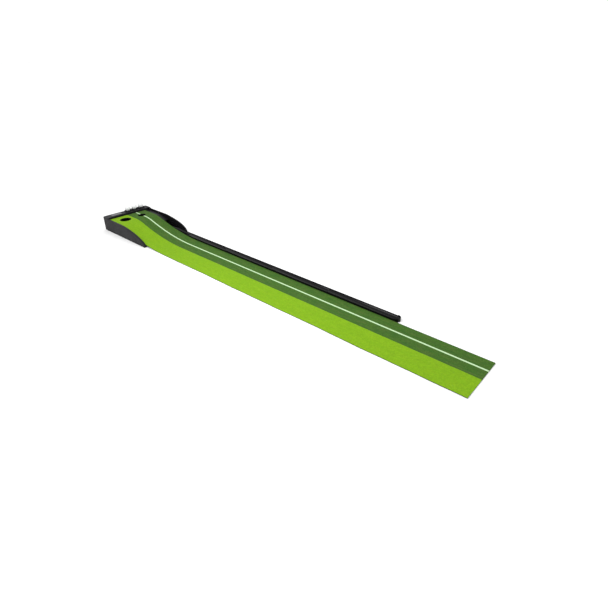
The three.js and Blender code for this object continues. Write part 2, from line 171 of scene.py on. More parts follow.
def swept(rings: Array) -> Surface:
    """A closed surface through a row of closed rings, with a flat face on the first and the last.

    Args:
        rings: Points as (ring, place on the ring, xyz).

    Returns:
        The surface, turned outwards.
    """
    count, corners = rings.shape[:2]
    cap = np.arange(corners)[None, :]
    faces = [lattice(count, corners, True), cap[:, ::-1], cap + (count - 1) * corners]
    return Surface(rings.reshape(-1, 3), faces).outward()


def turned(profile: Array, place: Circle, segments: int = 64) -> Surface:
    """A profile turned about an upright axis: each point (r, z) runs round at radius r.

    Args:
        profile: Points (r, z) that start and end on the axis, or close on themselves.
        place: The circle whose centre the axis stands on.
        segments: Steps round the axis.

    Returns:
        The surface, turned outwards; its seam and poles are closed when it is welded.
    """
    angle = np.linspace(0, 2 * math.pi, segments + 1)[:, None]
    radius, height = profile[None, :, 0], profile[None, :, 1]
    x, y = place.x + radius * np.cos(angle), place.y + radius * np.sin(angle)
    points = np.stack([x, y, height + 0 * angle], axis=-1)
    closed = not np.allclose(profile[[0, -1], 0], 0)
    faces = lattice(segments + 1, len(profile), closed)
    return Surface(points.reshape(-1, 3), [faces]).outward()


def rounded(corners: Array, radii: Array | float, steps: int = 5) -> Array:
    """An outline with arcs in place of its corners, each tangent to the two sides it joins.

    Args:
        corners: Corners (a, b) of a closed outline.
        radii: Radius of each corner's arc, or one for all.
        steps: Straight steps in each arc.

    Returns:
        The new outline, without points that fall on each other.
    """
    radii = np.broadcast_to(np.asarray(radii, float), len(corners))
    back, ahead = np.roll(corners, 1, axis=0) - corners, np.roll(corners, -1, axis=0) - corners
    back_length = np.linalg.norm(back, axis=1, keepdims=True)
    ahead_length = np.linalg.norm(ahead, axis=1, keepdims=True)
    back, ahead = back / back_length, ahead / ahead_length
    half = np.arccos(np.clip((back * ahead).sum(axis=1), -1, 1)) / 2
    reach = np.minimum(radii / np.tan(half), 0.49 * np.minimum(back_length, ahead_length)[:, 0])
    middle = back + ahead
    middle /= np.maximum(np.linalg.norm(middle, axis=1, keepdims=True), 1e-9)
    radius = reach * np.tan(half)
    centre = corners + middle * (radius / np.maximum(np.sin(half), 1e-9))[:, None]
    start, end = corners + back * reach[:, None] - centre, corners + ahead * reach[:, None] - centre
    first = np.arctan2(start[:, 1], start[:, 0])
    sweep = (np.arctan2(end[:, 1], end[:, 0]) - first + math.pi) % (2 * math.pi) - math.pi
    angle = first[:, None] + sweep[:, None] * np.linspace(0, 1, steps + 1)
    arc = centre[:, None] + radius[:, None, None] * np.stack([np.cos(angle), np.sin(angle)], axis=-1)
    outline = np.where((radii > 0)[:, None, None], arc, corners[:, None]).reshape(-1, 2)
    apart = np.linalg.norm(outline - np.roll(outline, 1, axis=0), axis=1) > 1e-7
    return outline[apart]


def drawn_in(outline: Array, distance: float) -> Array:
    """An outline moved inwards: each point goes along the mean of its two sides' normals.

    Args:
        outline: Points (a, b) of a closed outline.
        distance: How far each side moves.

    Returns:
        The smaller outline, with as many points.
    """
    ahead = np.roll(outline, -1, axis=0) - outline
    area = (outline[:, 0] * np.roll(outline[:, 1], -1) - np.roll(outline[:, 0], -1) * outline[:, 1]).sum()
    normal = np.stack([ahead[:, 1], -ahead[:, 0]], axis=1) * math.copysign(1, area)
    normal /= np.linalg.norm(normal, axis=1, keepdims=True)
    before = np.roll(normal, 1, axis=0)
    mitre = (normal + before) / (1 + (normal * before).sum(axis=1, keepdims=True)).clip(0.3)
    return outline - distance * mitre


def quarter_round(radius: Array | float, steps: int) -> tuple[Array, Array]:
    """The two offsets along a quarter circle: one falls from the radius to 0 as the other rises to it."""
    turn = np.linspace(0, math.pi / 2, steps)
    if np.ndim(radius):
        turn = turn[:, None]
    return radius * (1 - np.sin(turn)), radius * (1 - np.cos(turn))


def moulded(outline: Array, low: float, high: float, edge: float, axis: Axis) -> Surface:
    """An outline carried straight along an axis; both ends are drawn in over a quarter round.

    Args:
        outline: Points (a, b) of the closed outline.
        low: Where it starts on the axis.
        high: Where it ends.
        edge: Radius of the rounding at both ends.
        axis: Axis that it is carried along.

    Returns:
        The closed surface.
    """
    inset, along = quarter_round(edge, 4)
    places = [*(low + along), *(high - along[::-1])]
    insets = [*inset, *inset[::-1]]
    rings = [axis.place(drawn_in(outline, depth), place) for depth, place in zip(insets, places)]
    return swept(np.array(rings))


def brick(low: tuple[float, float, float], high: tuple[float, float, float], edge: float) -> Surface:
    """A block between two corners with all its edges rounded to the radius given."""
    (x0, y0, z0), (x1, y1, z1) = low, high
    outline = rounded(np.array([[x0, y0], [x1, y0], [x1, y1], [x0, y1]]), edge, 3)
    return moulded(outline, z0, z1, edge * 0.98, Axis.Z)


def slab(top: Array, bottom: Array, quads: Array) -> Surface:
    """A closed sheet between two layers of matching points, joined round every edge used only once.

    Args:
        top: Points of the upper layer.
        bottom: Points of the lower layer, in the same order.
        quads: Faces of the upper layer.

    Returns:
        The closed surface.
    """
    edges = quads[:, [0, 1, 1, 2, 2, 3, 3, 0]].reshape(-1, 2)
    _, first, uses = np.unique(np.sort(edges, axis=1), axis=0, return_index=True, return_counts=True)
    rim = edges[first[uses == 1]]
    count = len(top)
    sides = np.stack([rim[:, 1], rim[:, 0], rim[:, 0] + count, rim[:, 1] + count], axis=1)
    return Surface(np.vstack([top, bottom]), [quads, quads[:, ::-1] + count, sides]).outward()


def holed_net(xs: Array, ys: Array, holes: list[Circle]) -> tuple[Array, Array]:
    """A net of cells in plan with round holes in it.

    Cells whose middle lies in a hole are left out. A point on the rim of what is left moves onto the
    circle, along the radius, or along the net's own border where it lies on that.

    Args:
        xs: Places of the cross lines.
        ys: Places of the long lines.
        holes: The holes.

    Returns:
        The plan points, and the faces.
    """
    plan = np.stack(np.meshgrid(xs, ys, indexing="ij"), axis=-1).reshape(-1, 2)
    quads = lattice(len(xs), len(ys), False)
    middle = plan[quads].mean(axis=1)
    inside = np.any([hole.distance(middle) < hole.radius for hole in holes], axis=0)
    rim = np.intersect1d(quads[inside], quads[~inside])
    reach = 2 * max(xs[1] - xs[0], ys[1] - ys[0])
    for hole in holes:
        near = rim[np.abs(hole.distance(plan[rim]) - hole.radius) < reach]
        away = plan[near] - (hole.x, hole.y)
        on_circle = away * (hole.radius / np.linalg.norm(away, axis=1))[:, None]
        border = np.isclose(plan[near, 1], ys[0]) | np.isclose(plan[near, 1], ys[-1])
        across = np.sqrt(np.maximum(hole.radius**2 - away[:, 1] ** 2, 0)) * np.sign(away[:, 0])
        along_border = np.stack([across, away[:, 1]], axis=1)
        plan[near] = np.where(border[:, None], along_border, on_circle) + (hole.x, hole.y)
    used, faces = np.unique(quads[~inside], return_inverse=True)
    return plan[used], faces.reshape(-1, 4)


def hashed(plan: Array, seed: float) -> Array:
    """A repeatable random number from 0 to 1 at each plan point: the same point always gets the same."""
    value = np.sin(np.round(plan[:, 0], 6) * 12989.8 + np.round(plan[:, 1], 6) * 78233.1 + seed) * 43758.5
    return value - np.floor(value)


def eased(step: Array) -> Array:
    """A step from 0 to 1 with level ends: three times its square less twice its cube."""
    return step * step * (3 - 2 * step)


def wavy(x: Array, waves: tuple[tuple[float, float, float], ...]) -> Array:
    """A sum of sines, each given as (height, wavelength, phase)."""
    return sum(height * np.sin(2 * math.pi * x / length + phase) for height, length, phase in waves)


# ---- pieces -------------------------------------------------------------------------------------
@dataclass(frozen=True)
class Piece:
    """A piece of the model: its name, finish and CAD body, its slot, and the CAD nodes it stands for.

    Edges over the sharp angle, in degrees, stay sharp.
    """

    name: str
    material: Material
    body: str
    slot: str
    replaces: tuple[str, ...] = ()
    sharp: float = 38.0

    def skinned(self, surface: Surface, weld: bool = True) -> Object:
        """Puts a surface into the scene as this piece.

        Args:
            surface: Its closed surface.
            weld: Whether points that fall on each other are joined.

        Returns:
            The new object, at the origin, with its place in its mesh.
        """
        surface = surface.outward()
        mesh = bpy.data.meshes.new(self.name)
        loops = np.concatenate([block.ravel() for block in surface.faces])
        sizes = np.concatenate([np.full(len(block), block.shape[1]) for block in surface.faces])
        starts = np.concatenate([[0], np.cumsum(sizes)[:-1]])
        mesh.vertices.add(len(surface.points))
        mesh.vertices.foreach_set("co", surface.points.astype(np.float32).ravel())
        mesh.loops.add(len(loops))
        mesh.loops.foreach_set("vertex_index", loops.astype(np.int32))
        mesh.polygons.add(len(sizes))
        mesh.polygons.foreach_set("loop_start", starts.astype(np.int32))
        mesh.update(calc_edges=True)
        mask = np.broadcast_to(surface.mask, len(surface.points)).astype(np.float32)
        mesh.attributes.new(MASK, "FLOAT", "POINT").data.foreach_set("value", mask)
        if weld:
            work = opened(mesh)
            work.to_mesh(mesh)
            work.free()
        mesh.validate()
        return self.dress(bpy.data.objects.new(self.name, mesh))

    def softened(self, edge: float) -> Object:
        """Puts in a copy of the CAD solid it stands for, with whole flat faces and rounded edges.

        Args:
            edge: Width of the rounding, on the edges over the sharp angle.

        Returns:
            The new object.
        """
        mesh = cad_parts[self.replaces[0]].data.copy()
        mesh.name = self.name
        work = opened(mesh)
        bmesh.ops.dissolve_limit(work, angle_limit=FLAT_ANGLE, verts=work.verts, edges=work.edges)
        work.to_mesh(mesh)
        work.free()
        piece = bpy.data.objects.new(self.name, mesh)
        bevel = piece.modifiers.new("edges", "BEVEL")
        bevel.width = edge
        bevel.segments = 2
        bevel.limit_method = "ANGLE"
        bevel.angle_limit = math.radians(self.sharp)
        bevel.use_clamp_overlap = True
        return self.dress(piece)

    def dress(self, piece: Object) -> Object:
        """Gives a new object its finish, shading and body, and puts it in the scene."""
        piece.data.shade_smooth()
        piece.data.set_sharp_from_angle(angle=math.radians(self.sharp))
        piece.data.materials.clear()
        piece.data.materials.append(self.material)
        bpy.context.scene.collection.objects.link(piece)
        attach(piece, self.body)
        if self.replaces:
            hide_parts(*self.replaces)
        log.info("%s: %d faces on %s", self.name, len(piece.data.polygons), self.body)
        return piece


def opened(mesh: bpy.types.Mesh) -> bmesh.types.BMesh:
    """A mesh opened for editing, with the points that fall on each other joined."""
    work = bmesh.new()
    work.from_mesh(mesh)
    bmesh.ops.remove_doubles(work, verts=work.verts, dist=WELD_DISTANCE)
    return work


# ---- shader nodes -------------------------------------------------------------------------------
class Net:
    """A node tree being wired: it makes nodes, sets their values and links their sockets."""

    def __init__(self, tree: NodeTree) -> None:
        """Starts on a tree."""
        self.tree = tree

    def fill(self, node: bpy.types.Node, values: dict) -> None:
        """Feeds a node's inputs, by name or number: a socket is linked and any other value is set."""
        for key, value in values.items():
            if isinstance(value, Socket):
                self.tree.links.new(value, node.inputs[key])
            else:
                node.inputs[key].default_value = value

    def add(self, kind: str, values: dict | None = None, **settings: object) -> bpy.types.Node:
        """Makes a node.

        Args:
            kind: The node's type name.
            values: Input name or number to a value, or to the socket that feeds it.
            settings: Properties of the node itself.

        Returns:
            The node.
        """
        node = self.tree.nodes.new(kind)
        for key, value in settings.items():
            setattr(node, key, value)
        self.fill(node, values or {})
        return node

    def group(self, tree: NodeTree, **values: object) -> dict[str, Socket]:
        """A shared group's outputs by name, with its inputs fed."""
        node = self.add("ShaderNodeGroup", values, node_tree=tree)
        return {socket.name: socket for socket in node.outputs}

    def mask(self) -> Socket:
        """The mask that the mesh carries at its points."""
        return self.add("ShaderNodeAttribute", attribute_name=MASK).outputs["Fac"]

    def maths(self, operation: str, *values: object) -> Socket:
        """The result of a Math node on up to three values or sockets."""
        return self.add("ShaderNodeMath", dict(enumerate(values)), operation=operation).outputs[0]

    def times(self, one: object, two: object) -> Socket:
        """One value times another."""
        return self.maths("MULTIPLY", one, two)

    def blend(self, factor: object, one: Colour | Socket, two: Colour | Socket) -> Socket:
        """A colour between two others, by the factor."""
        one, two = (opaque(colour) if isinstance(colour, tuple) else colour for colour in (one, two))
        return self.add("ShaderNodeMix", {0: factor, 6: one, 7: two}, data_type="RGBA").outputs[2]

    def spread(self, value: Socket, low: float, high: float, start: float, end: float) -> Socket:
        """The value carried from low..high to start..end, and kept inside."""
        values = {"Value": value, "From Min": low, "From Max": high, "To Min": start, "To Max": end}
        return self.add("ShaderNodeMapRange", values).outputs[0]

    def noise(self, vector: Socket, scale: object, detail: float, rough: float = 0.5) -> Socket:
        """The value of a Noise Texture."""
        values = {"Vector": vector, "Scale": scale, "Detail": detail, "Roughness": rough}
        return self.add("ShaderNodeTexNoise", values).outputs[0]

    def streaks(self, vector: Socket, scale: Colour, detail: float, rough: float = 0.6) -> Socket:
        """A Noise Texture on the vector scaled by a different share along each axis."""
        mapped = self.add("ShaderNodeMapping", {"Vector": vector, "Scale": scale}).outputs[0]
        return self.noise(mapped, 1.0, detail, rough)

    def cells(self, vector: Socket, scale: object) -> Socket:
        """The distance value of a Voronoi Texture."""
        return self.add("ShaderNodeTexVoronoi", {"Vector": vector, "Scale": scale}).outputs[0]

    def bump(self, strength: float, distance: float, height: Socket) -> Socket:
        """A normal tilted by a height, at a strength and a depth in metres."""
        values = {"Strength": strength, "Distance": distance, "Height": height}
        return self.add("ShaderNodeBump", values).outputs[0]


def new_group(
    name: str, inputs: tuple[str, ...], outputs: tuple[str, ...]
) -> tuple[Net, dict[str, Socket], bpy.types.Node]:
    """Makes an empty shader node group with a Vector input.

    Args:
        name: The group's name.
        inputs: Names of its further inputs, each one number.
        outputs: Names of its outputs, each one number.

    Returns:
        The net, its input sockets by name, and the node that its outputs are fed through.
    """
    tree = bpy.data.node_groups.new(name, "ShaderNodeTree")
    tree.interface.new_socket(name="Vector", in_out="INPUT", socket_type="NodeSocketVector")
    for way, labels in (("INPUT", inputs), ("OUTPUT", outputs)):
        for label in labels:
            tree.interface.new_socket(name=label, in_out=way, socket_type="NodeSocketFloat")
    net = Net(tree)
    entry, leave = net.add("NodeGroupInput"), net.add("NodeGroupOutput")
    return net, {socket.name: socket for socket in entry.outputs if socket.name}, leave


def moulded_grain() -> NodeTree:
    """Group: the fine pebbled texture of a mould, as a height, at a given size of grain."""
    net, given, leave = new_group("moulded_grain", ("Size",), ("Height",))
    scale = net.maths("DIVIDE", 1.0, given["Size"])
    pebbles = net.cells(given["Vector"], scale)
    fine = net.noise(given["Vector"], net.times(scale, 2.3), 2.0)
    net.fill(leave, {"Height": net.maths("MULTIPLY_ADD", fine, 0.45, net.times(pebbles, 0.6))})
    return net.tree


def handling_marks() -> NodeTree:
    """Group: masks of light scuffs, of cloudy patches, and of dust on what faces up."""
    net, given, leave = new_group("handling_marks", (), ("Scuffs", "Patches", "Dust"))
    vector = given["Vector"]
    lines = net.streaks(vector, (18.0, 420.0, 260.0), 3.0)
    cross = net.streaks(vector, (380.0, 22.0, 240.0), 3.0)
    strongest = net.maths("MAXIMUM", lines, cross)
    cloud = net.noise(vector, 16.0, 4.0, 0.55)
    normal = net.add("ShaderNodeNewGeometry").outputs["Normal"]
    upward = net.add("ShaderNodeSeparateXYZ", {0: normal}).outputs[2]
    speckle = net.noise(vector, 900.0, 3.0, 0.7)
    masks = {
        "Scuffs": net.times(net.spread(strongest, 0.66, 0.74, 0, 1), net.spread(cloud, 0.45, 0.6, 0, 1)),
        "Patches": net.spread(cloud, 0.3, 0.7, 0, 1),
        "Dust": net.times(net.spread(upward, 0.6, 1.0, 0, 1), net.spread(speckle, 0.5, 0.72, 0, 1)),
    }
    net.fill(leave, masks)
    return net.tree


def pile_shade() -> NodeTree:
    """Group: masks of a short curly pile - its fibres, tufts, lengthwise streaks of painted sheen and broad
    patches; the tuft mask drives painted shade between the tufts.
    """
    labels = ("Fibre", "Depth", "LaySheen", "Patch", "Tint", "Height")
    net, given, leave = new_group("pile_shade", ("Tuft",), labels)
    vector = given["Vector"]
    curled = net.noise(vector, 700.0, 4.0, 0.65)
    loops = net.cells(vector, 520.0)
    tufts = net.noise(vector, 230.0, 2.0)
    # how high each point stands in the pile, from the tuft heights and a noise; the turf finish paints shade
    # where this is low
    depth = net.maths("MULTIPLY_ADD", given["Tuft"], 0.55, net.times(tufts, 0.45))
    broad = net.streaks(vector, (5.0, 11.0, 5.0), 3.0, 0.55)
    medium = net.streaks(vector, (24.0, 60.0, 24.0), 3.0)
    patch = net.maths("MULTIPLY_ADD", broad, 0.4, net.times(medium, 0.6))
    masks = {
        "Fibre": net.spread(curled, 0.35, 0.68, 0, 1),
        # this mask drives the painted shade between the tufts
        "Depth": net.spread(depth, 0.25, 0.75, 0, 1),
        # this mask drives painted sheen: lengthwise streaks that the turf finish blends towards the pale tip
        # colour
        "LaySheen": net.spread(net.streaks(vector, (2.2, 46.0, 4.0), 3.0), 0.3, 0.7, 0, 1),
        "Patch": net.spread(patch, 0.38, 0.62, 0, 1),
        "Tint": net.spread(net.streaks(vector, (15.0, 70.0, 15.0), 4.0), 0.42, 0.68, 0, 1),
        "Height": net.maths("MULTIPLY_ADD", curled, 0.7, net.times(loops, 0.5)),
    }
    net.fill(leave, masks)
    return net.tree


@dataclass(frozen=True)
class Groups:
    """The shared node groups, made once."""

    grain: NodeTree
    marks: NodeTree
    pile: NodeTree

    @classmethod
    def made(cls) -> "Groups":
        """Makes all the groups."""
        return cls(moulded_grain(), handling_marks(), pile_shade())


def opaque(colour: Colour) -> tuple[float, float, float, float]:
    """A colour with full cover."""
    return (*colour, 1.0)


@dataclass(frozen=True)
class Finish:
    """A finish of the object: a Principled shader whose inputs each kind of finish works out."""

    name: str

    def material(self, groups: Groups) -> Material:
        """Builds the material from the shared groups."""
        material = bpy.data.materials.new(self.name)
        material.use_nodes = True
        net = Net(material.node_tree)
        shader = next(n for n in material.node_tree.nodes if n.type == "BSDF_PRINCIPLED")
        place = net.add("ShaderNodeTexCoord").outputs["Object"]
        net.fill(shader, self.inputs(net, place, groups))
        return material

    def inputs(self, net: Net, place: Socket, groups: Groups) -> dict[str, object]:
        """Wires what feeds the shader.

        Args:
            net: The material's net.
            place: The socket of Object coordinates.
            groups: The shared groups.

        Returns:
            Shader input name to the value or socket that feeds it.
        """
        raise NotImplementedError


@dataclass(frozen=True)
class PlasticFinish(Finish):
    """Moulded plastic: pebbled by its mould, cloudy in its gloss, with scuffs and a little dust.

    Where the mesh's mask is 1 the face is textured: paler and duller.
    """

    colour: Colour
    scuffed: Colour
    roughness: float
    polish: float
    grain: float
    grain_depth: float
    specular: float = 0.1
    dust: float = 0.03
    cloud: float = 0.75
    textured: Colour | None = None
    dust_colour: Colour = (0.22, 0.21, 0.2)
    duller: float = 0.15

    def inputs(self, net: Net, place: Socket, groups: Groups) -> dict[str, object]:
        """A clouded colour under scuffs and dust, an uneven gloss and a pebbled face."""
        grain = net.group(groups.grain, Vector=place, Size=self.grain)
        marks = net.group(groups.marks, Vector=place)
        mask = net.mask()
        plain = net.blend(mask, self.colour, self.textured or self.colour)
        cloud = net.spread(marks["Patches"], 0, 1, self.cloud, 1)
        base = net.add("ShaderNodeVectorMath", {0: plain, "Scale": cloud}, operation="SCALE").outputs[0]
        scuffed = net.blend(marks["Scuffs"], base, self.scuffed)
        sheen = net.spread(marks["Patches"], 0, 1, self.roughness, self.roughness - self.polish)
        scratched = net.maths("MULTIPLY_ADD", marks["Scuffs"], self.duller, sheen)
        return {
            "Base Color": net.blend(net.times(marks["Dust"], self.dust), scuffed, self.dust_colour),
            "Roughness": net.maths("MULTIPLY_ADD", mask, self.duller, scratched),
            "Normal": net.bump(0.8, self.grain_depth, grain["Height"]),
            "Specular IOR Level": self.specular,
        }


@dataclass(frozen=True)
class TurfFinish(Finish):
    """Short curly pile: painted shade darkens it between the tufts, its fibre tips are pale, and streaks of
    painted sheen run along the pile.

    The mesh's mask is the height of each tuft; the finish paints shade where it is low.
    """

    # colour of the painted shade low in the pile, between the tufts
    root_shade: Colour
    body: Colour
    tip: Colour
    patch: Colour
    tint: Colour
    patchiness: float = 0.4
    tinted: float = 0.3
    # weight of the streaks of painted sheen that run along the pile
    lay_sheen: float = 0.12
    shade: float = 0.55
    fibre: float = 0.42
    fibre_depth: float = 1.1 * MM

    def inputs(self, net: Net, place: Socket, groups: Groups) -> dict[str, object]:
        """Patches, tints and painted sheen streaks over the body colour, then painted shade at the roots and
        pale tips.
        """
        pile = net.group(groups.pile, Vector=place, Tuft=net.mask())
        patched = net.blend(net.times(pile["Patch"], self.patchiness), self.body, self.patch)
        tinged = net.blend(net.times(pile["Tint"], self.tinted), patched, self.tint)
        # painted sheen: lengthwise streaks blended towards the pale tip colour
        laid = net.blend(net.times(pile["LaySheen"], self.lay_sheen), tinged, self.tip)
        # painted shade: points low in the pile are blended towards the dark root colour
        root_shaded = net.blend(net.spread(pile["Depth"], 0, 1, self.shade, 0), laid, self.root_shade)
        return {
            "Base Color": net.blend(net.times(pile["Fibre"], self.fibre), root_shaded, self.tip),
            "Roughness": net.spread(pile["Fibre"], 0, 1, 0.95, 0.8),
            "Normal": net.bump(0.9, self.fibre_depth, pile["Height"]),
            "Specular IOR Level": 0.12,
            "Sheen Weight": 0.04,
            "Sheen Roughness": 0.5,
            "Sheen Tint": opaque(self.tip),
        }


@dataclass(frozen=True)
class RubberFinish(Finish):
    """Dull rubber or foam: fine pores with painted shade in them, a pale bloom in patches."""

    colour: Colour
    bloom: Colour
    pore: float

    def inputs(self, net: Net, place: Socket, groups: Groups) -> dict[str, object]:
        """Painted shade in the pores, the bloom over it in patches, and a porous face."""
        pores = net.group(groups.grain, Vector=place, Size=self.pore)["Height"]
        patches = net.group(groups.marks, Vector=place)["Patches"]
        # painted shade: the low points of the pores are blended up to half way to black
        pore_shaded = net.blend(net.spread(pores, 0.2, 0.6, 0.5, 0), self.colour, (0, 0, 0))
        return {
            "Base Color": net.blend(net.times(patches, 0.5), pore_shaded, self.bloom),
            "Roughness": net.spread(patches, 0, 1, 0.95, 0.82),
            "Normal": net.bump(0.7, 0.4 * MM, pores),
            "Specular IOR Level": 0.25,
        }


@dataclass(frozen=True)
class BallFinish(Finish):
    """A ball's white cover under clear lacquer, with faint grime in patches."""

    colour: Colour
    grime: Colour

    def inputs(self, net: Net, place: Socket, groups: Groups) -> dict[str, object]:
        """The cover's colour with grime in its scuffs, a patchy gloss and a clear coat."""
        marks = net.group(groups.marks, Vector=place)
        return {
            "Base Color": net.blend(net.times(marks["Scuffs"], 0.3), self.colour, self.grime),
            "Roughness": net.spread(marks["Patches"], 0, 1, 0.32, 0.2),
            "Normal": net.bump(0.15, 0.05 * MM, net.noise(place, 1400.0, 2.0)),
            "Coat Weight": 0.6,
            "Coat Roughness": 0.08,
        }


@dataclass(frozen=True)
class SteelFinish(Finish):
    """Plated steel with fine turning lines and dull spots."""

    colour: Colour
    dull: Colour

    def inputs(self, net: Net, place: Socket, groups: Groups) -> dict[str, object]:
        """Dull and bright patches of metal, with fine lines in its gloss and its face."""
        patches = net.group(groups.marks, Vector=place)["Patches"]
        mapped = net.add("ShaderNodeMapping", {"Vector": place, "Scale": (1.0, 1.0, 6.0)}).outputs[0]
        lines = net.noise(mapped, 2600.0, 2.0)
        return {
            "Base Color": net.blend(patches, self.dull, self.colour),
            "Roughness": net.spread(lines, 0.3, 0.7, 0.28, 0.45),
            "Normal": net.bump(0.2, 0.04 * MM, lines),
            "Metallic": 1.0,
        }


LIGHT_TURF = TurfFinish(
    name="light_turf",
    root_shade=(0.05, 0.13, 0.002),
    body=(0.172, 0.365, 0.005),
    tip=(0.29, 0.49, 0.015),
    patch=(0.12, 0.295, 0.003),
    tint=(0.25, 0.375, 0.01),
    patchiness=0.4,
    tinted=0.35,
)
DARK_TURF = TurfFinish(
    name="dark_turf",
    root_shade=(0.006, 0.022, 0.003),
    body=(0.043, 0.13, 0.008),
    tip=(0.094, 0.187, 0.036),
    patch=(0.013, 0.09, 0.01),
    tint=(0.085, 0.125, 0.025),
    patchiness=0.85,
    tinted=0.7,
)
LINE_TURF = TurfFinish(
    name="line_turf",
    root_shade=(0.2, 0.34, 0.13),
    body=(0.5, 0.72, 0.42),
    tip=(0.68, 0.84, 0.6),
    patch=(0.4, 0.64, 0.34),
    tint=(0.58, 0.74, 0.48),
)
MAT_RUBBER = RubberFinish("mat_rubber", (0.012, 0.016, 0.01), (0.03, 0.036, 0.026), 0.0012)
FOOT_RUBBER = RubberFinish("foot_rubber", (0.01, 0.01, 0.01), (0.03, 0.03, 0.03), 0.0008)
HOUSING_PLASTIC = PlasticFinish(
    name="housing_plastic",
    colour=(0.008, 0.0075, 0.009),
    scuffed=(0.03, 0.03, 0.031),
    roughness=0.5,
    polish=0.1,
    grain=0.0009,
    grain_depth=0.0001,
    specular=0.1,
    textured=(0.026, 0.0255, 0.0275),
)
TRACK_PLASTIC = PlasticFinish(
    name="track_plastic",
    colour=(0.004, 0.004, 0.0045),
    scuffed=(0.02, 0.02, 0.021),
    roughness=0.24,
    polish=0.08,
    grain=0.0016,
    grain_depth=0.00004,
    specular=0.12,
    dust=0.012,
)
INNER_PLASTIC = PlasticFinish(
    name="inner_plastic",
    colour=(0.006, 0.006, 0.007),
    scuffed=(0.03, 0.03, 0.03),
    roughness=0.6,
    polish=0.1,
    grain=0.0012,
    grain_depth=0.00008,
)
PLATE_PLASTIC = PlasticFinish(
    name="plate_plastic",
    colour=(0.1, 0.1, 0.103),
    scuffed=(0.2, 0.2, 0.2),
    roughness=0.42,
    polish=0.12,
    grain=0.0007,
    grain_depth=0.00005,
    specular=0.3,
)
BALL_COVER = BallFinish("ball_cover", (0.74, 0.745, 0.75), (0.46, 0.45, 0.41))
SCREW_STEEL = SteelFinish("screw_steel", (0.62, 0.62, 0.6), (0.38, 0.38, 0.37))
FLOOR_PAINT = PlasticFinish(
    name="floor_paint",
    colour=(0.91, 0.91, 0.91),
    scuffed=(0.91, 0.91, 0.91),
    roughness=0.9,
    polish=0.02,
    grain=0.004,
    grain_depth=0.00001,
    dust=0.0,
    cloud=0.995,
)


# ---- the mat ------------------------------------------------------------------------------------
@dataclass(frozen=True)
class Ramp:
    """The line of the mat's underside: level, a rounded crest, a straight slope, a long run-out."""

    rear: float
    height: float = 0.085
    crest_start: float = 0.200
    crest_length: float = 0.095
    slope: float = 0.26
    slope_length: float = 0.065

    @property
    def run_out_end(self) -> float:
        """Place where the run-out meets the floor, from the housing's rear."""
        return self.crest_start + self.crest_length + self.slope_length + self.run_out_length

    @property
    def run_out_length(self) -> float:
        """Length of the run-out: a parabola that starts on the slope and ends level."""
        fallen = self.slope * (self.crest_length / 2 + self.slope_length)
        return 2 * (self.height - fallen) / self.slope

    def at(self, x: Array) -> Array:
        """Height of the mat's underside at each x of the frame."""
        along = x - self.rear
        on_crest = np.clip(along - self.crest_start, 0, self.crest_length)
        crest = self.height - self.slope * on_crest**2 / (2 * self.crest_length)
        on_slope = np.clip(along - self.crest_start - self.crest_length, 0, self.slope_length)
        left = np.clip(self.run_out_end - along, 0, None)
        run_out = self.slope / (2 * self.run_out_length) * left**2
        return np.where(left < self.run_out_length, run_out, crest - self.slope * on_slope)


